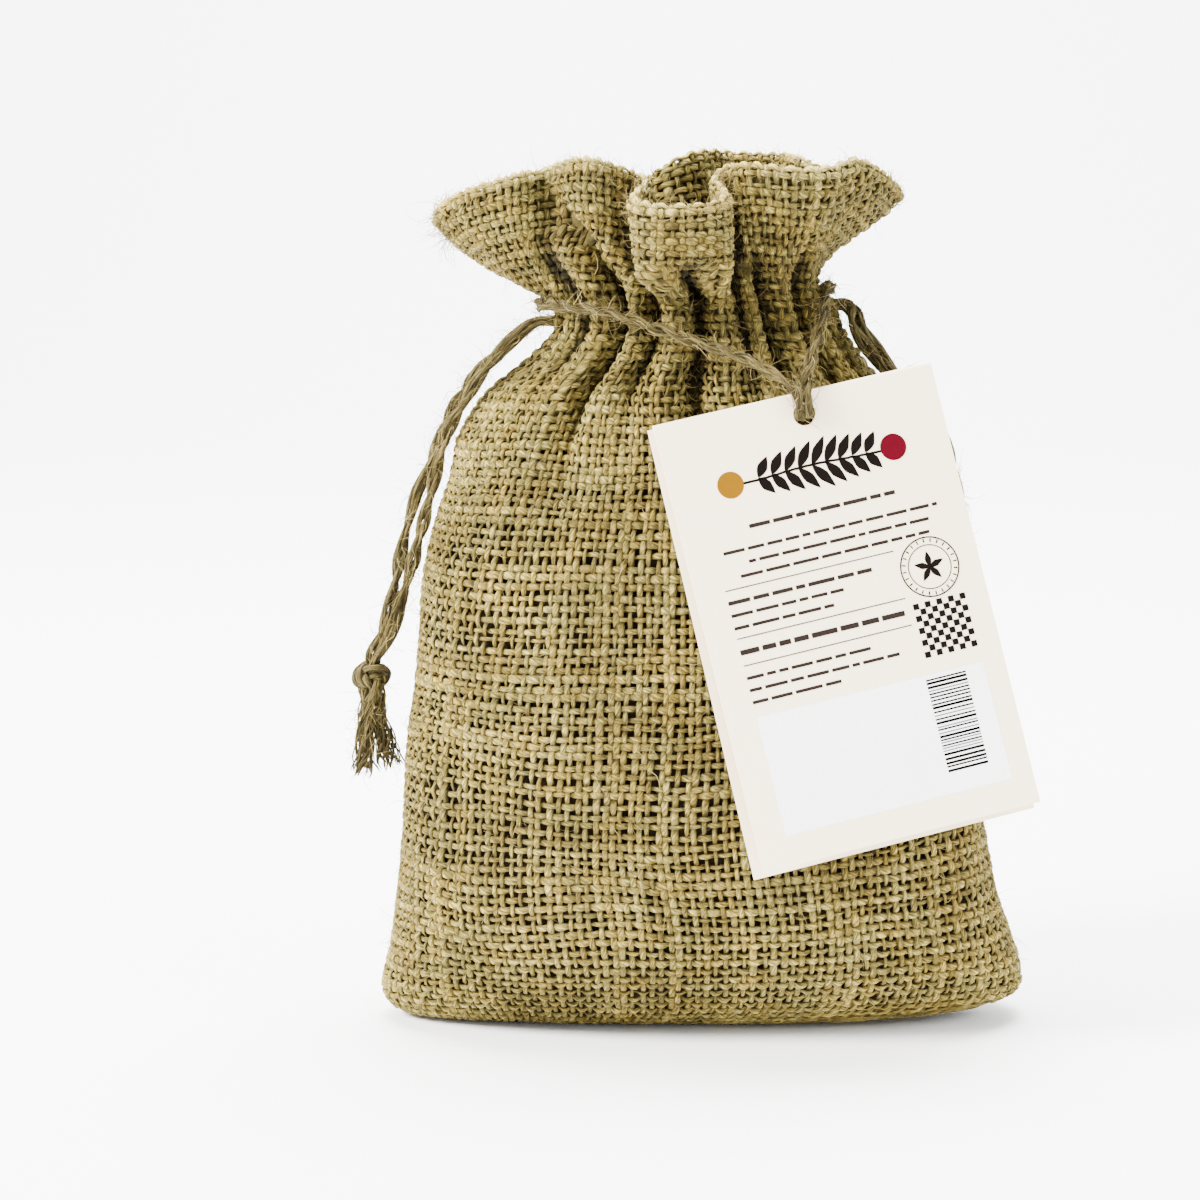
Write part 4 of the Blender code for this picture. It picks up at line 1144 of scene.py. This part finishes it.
def printPlace(x, z, turn=0.0):
    return Matrix.Translation((x, z, 0)) @ Matrix.Rotation(turn, 4, "Z")


def addBar(bm, x, z, width, height, turn=0.0):
    place = printPlace(x, z, turn) @ Matrix.Diagonal((width, height, 1, 1))
    bmesh.ops.create_grid(bm, x_segments=1, y_segments=1, size=0.5, matrix=place)


def addBox(bm, left, top, right, low):
    addBar(bm, (left + right) / 2, (top + low) / 2, right - left, top - low)


def addRing(bm, x, z, radius, width):
    edges = []
    for size in (radius, radius - width):
        made = bmesh.ops.create_circle(bm, segments=64, radius=size, matrix=printPlace(x, z))
        edges += list({edge for vert in made["verts"] for edge in vert.link_edges})
    bmesh.ops.bridge_loops(bm, edges=edges)


def addLeaf(bm, x, z, length, width, turn):
    made = bmesh.ops.create_circle(bm, cap_ends=True, segments=20, radius=1.0)
    for v in made["verts"]:
        v.co.y *= (1 - abs(v.co.x)) ** 0.35 * (1 - 0.25 * v.co.x)
        v.co = Vector(((v.co.x + 1) / 2 * length, v.co.y * width / 2, 0))
    bmesh.ops.transform(bm, verts=made["verts"], matrix=printPlace(x, z, turn))


def printPiece(name, draws, colour, level):
    bm = bmesh.new()
    for draw in draws:
        draw(bm)
    bmesh.ops.recalc_face_normals(bm, faces=bm.faces)
    for face in bm.faces:
        if face.normal.z < 0:
            face.normal_flip()
    standing = Matrix.Rotation(math.pi / 2, 4, "X")
    lifted = Matrix.Translation((0, -ink["lift"] * level, 0))
    bmesh.ops.transform(bm, verts=bm.verts, matrix=tagMatrix() @ Matrix.Scale(mm, 4) @ lifted @ standing)
    made = cardMaterial(name, ink[colour], tuple(c * ink["darkShare"] for c in ink[colour]), ink["specular"])
    finished(meshPiece(name, bm, made, flat=True), "tag_card")


prints = {  # places as shares of the card, sizes in mm
    "rules": (0.388, 0.495, 0.555), "ruleEnds": (0.105, 0.71), "ruleHeight": 0.22,
    "dash": (1.4, 5.6), "dashGap": 0.65, "dashRest": 1.0,
    "dashedLines": (  # from the left to the right, down the card, height
        (0.24, 0.79, 0.262, 0.80), (0.13, 0.90, 0.308, 0.65), (0.21, 0.86, 0.336, 0.65),
        (0.17, 0.85, 0.364, 0.65), (0.105, 0.62, 0.416, 0.80), (0.105, 0.52, 0.444, 0.65),
        (0.105, 0.47, 0.472, 0.65), (0.105, 0.71, 0.526, 1.05), (0.105, 0.55, 0.583, 0.65),
        (0.105, 0.66, 0.610, 0.65), (0.105, 0.44, 0.637, 0.65),
    ),
    "sprig": (0.505, 0.165), "discAside": 17.0, "discRadius": 2.7,
    "rings": (0.821, 0.44), "ringSizes": ((6.1, 0.30), (4.5, 0.22)), "beads": 24, "beadsAt": 5.3, "petals": 5,
    "lattice": (0.824, 0.573), "cells": 9, "latticeSide": 11.0,
    "bars": (0.71, 0.68, 0.855, 0.89), "barHeights": (0.22, 0.34, 0.50), "barGaps": (0.24, 0.34, 0.46),
    "panel": (0.105, 0.67, 0.923, 0.935),
}


def printedRules(bm):
    for v in prints["rules"]:
        (left, z), (right, _) = (onTag(u, v) for u in prints["ruleEnds"])
        addBar(bm, (left + right) / 2, z, right - left, prints["ruleHeight"])


def printedLines(bm):  # rows of short bars of uneven length
    rng = np.random.default_rng(ink["seed"])
    for left, right, v, height in prints["dashedLines"]:
        (x, z), (end, _) = onTag(left, v), onTag(right, v)
        while x < end - prints["dashRest"]:
            width = min(rng.uniform(*prints["dash"]), end - x)
            addBar(bm, x + width / 2, z, width, height)
            x += width + prints["dashGap"]


def printedSprig(bm):
    x, z = onTag(*prints["sprig"])
    for k in range(-6, 7):
        addBar(bm, x + 2.2 * k, z + 0.25 * math.cos(k * 0.5), 2.3, 0.50, -0.12 * math.sin(k * 0.5))
    for k in range(-4, 5):
        for way in (1, -1):
            addLeaf(bm, x + 2.8 * k, z + 0.2, 6.4 - 0.45 * abs(k), 2.1, way * 0.95)


def printedRings(bm):
    x, z = onTag(*prints["rings"])
    for radius, width in prints["ringSizes"]:
        addRing(bm, x, z, radius, width)
    reach = prints["beadsAt"]
    for turn in (2 * math.pi * k / prints["beads"] for k in range(prints["beads"])):
        addBar(bm, x + reach * math.cos(turn), z + reach * math.sin(turn), 0.75, 0.28, turn)
    for k in range(prints["petals"]):
        addLeaf(bm, x, z, 3.2, 1.3, math.pi / 2 + 2 * math.pi * k / prints["petals"])


def printedLattice(bm):
    x, z = onTag(*prints["lattice"])
    cells, side = prints["cells"], prints["latticeSide"]
    size = side / cells
    for row in range(cells):
        for column in range(row % 2, cells, 2):
            addBar(bm, x + (column - 4) * side / cells, z + (row - 4) * side / cells, size, size)


def printedBars(bm):
    rng = np.random.default_rng(ink["seed"] + 1)
    left, top, right, low = boxOnTag("bars")
    while top > low + 0.6:
        height = rng.choice(prints["barHeights"])
        addBar(bm, (left + right) / 2, top - height / 2, right - left, height)
        top -= height + rng.choice(prints["barGaps"])


def printedPanel(bm):
    addBox(bm, *boxOnTag("panel"))


def printedDisc(bm, side):
    x, z = onTag(*prints["sprig"])
    bmesh.ops.create_circle(bm, cap_ends=True, segments=32, radius=prints["discRadius"],
                            matrix=printPlace(x + side * prints["discAside"], z))


printPiece("tag_panel", (printedPanel,), "panel", 1)
printPiece("tag_print", (printedRules, printedSprig, printedRings, printedLattice, printedBars), "brown", 2)
printPiece("tag_print_lines", (printedLines,), "soft", 2)
printPiece("tag_print_mustard", (lambda bm: printedDisc(bm, -1),), "mustard", 2)
printPiece("tag_print_crimson", (lambda bm: printedDisc(bm, 1),), "crimson", 2)
print("tag printed")


# Floor and light

studio = {
    "floor": (0.96, 0.965, 0.97), "world": (0.96, 0.98, 1.0), "worldStrength": 1.5,
    "lights": {  # place, aim, size, power, colour
        "key": ((-1.0, -0.50, 0.85), (0, 0, 0.09), 0.5, 99.0, (1.0, 0.98, 0.95)),
        "side": ((1.0, -0.55, 0.65), (0, 0, 0.09), 0.5, 15.0, (1, 1, 1)),
        "top": ((0.0, 0.15, 1.3), (0, 0, 0.1), 0.8, 44.0, (1, 1, 1)),
        "backdrop": ((0.0, 0.6, 1.6), (0, 1.8, 0.3), 1.6, 150.0, (1, 1, 1)),
    },
}


def sweep():  # a floor that curves up behind the pouch
    bm = bmesh.new()
    profile = [(-2.5, 0.0), (1.2, 0.0)]
    profile += [(1.2 + 0.8 * math.sin(t), 0.8 - 0.8 * math.cos(t)) for t in np.linspace(0.1, math.pi / 2, 16)]
    profile += [(2.0, 3.0)]
    verts = [bm.verts.new((-3.5, y, z - 0.0002)) for y, z in profile]
    edges = [bm.edges.new(pair) for pair in zip(verts, verts[1:])]
    grown = bmesh.ops.extrude_edge_only(bm, edges=edges)
    moved = [item for item in grown["geom"] if isinstance(item, bmesh.types.BMVert)]
    bmesh.ops.translate(bm, vec=(7, 0, 0), verts=moved)
    bmesh.ops.recalc_face_normals(bm, faces=bm.faces)
    made, _, shader = newMaterial("floor", 0.7)
    setInputs(shader, {"Base Color": (*studio["floor"], 1)})
    meshPiece("floor", bm, made)


def softLight(name, place, aim, size, power, colour):
    data = bpy.data.lights.new(name, "AREA")
    data.shape = "DISK"
    data.size = size
    data.energy = power
    data.color = colour
    lamp = linked(name, data)
    lamp.location = place
    lamp.rotation_euler = (Vector(aim) - Vector(place)).to_track_quat("-Z", "Y").to_euler()


sweep()
for name, light in studio["lights"].items():
    softLight(name, *light)
world = bpy.data.worlds.new("studio")
world.use_nodes = True
setInputs(world.node_tree.nodes["Background"],
          {"Color": (*studio["world"], 1), "Strength": studio["worldStrength"]})
bpy.context.scene.world = world
print("studio lit")
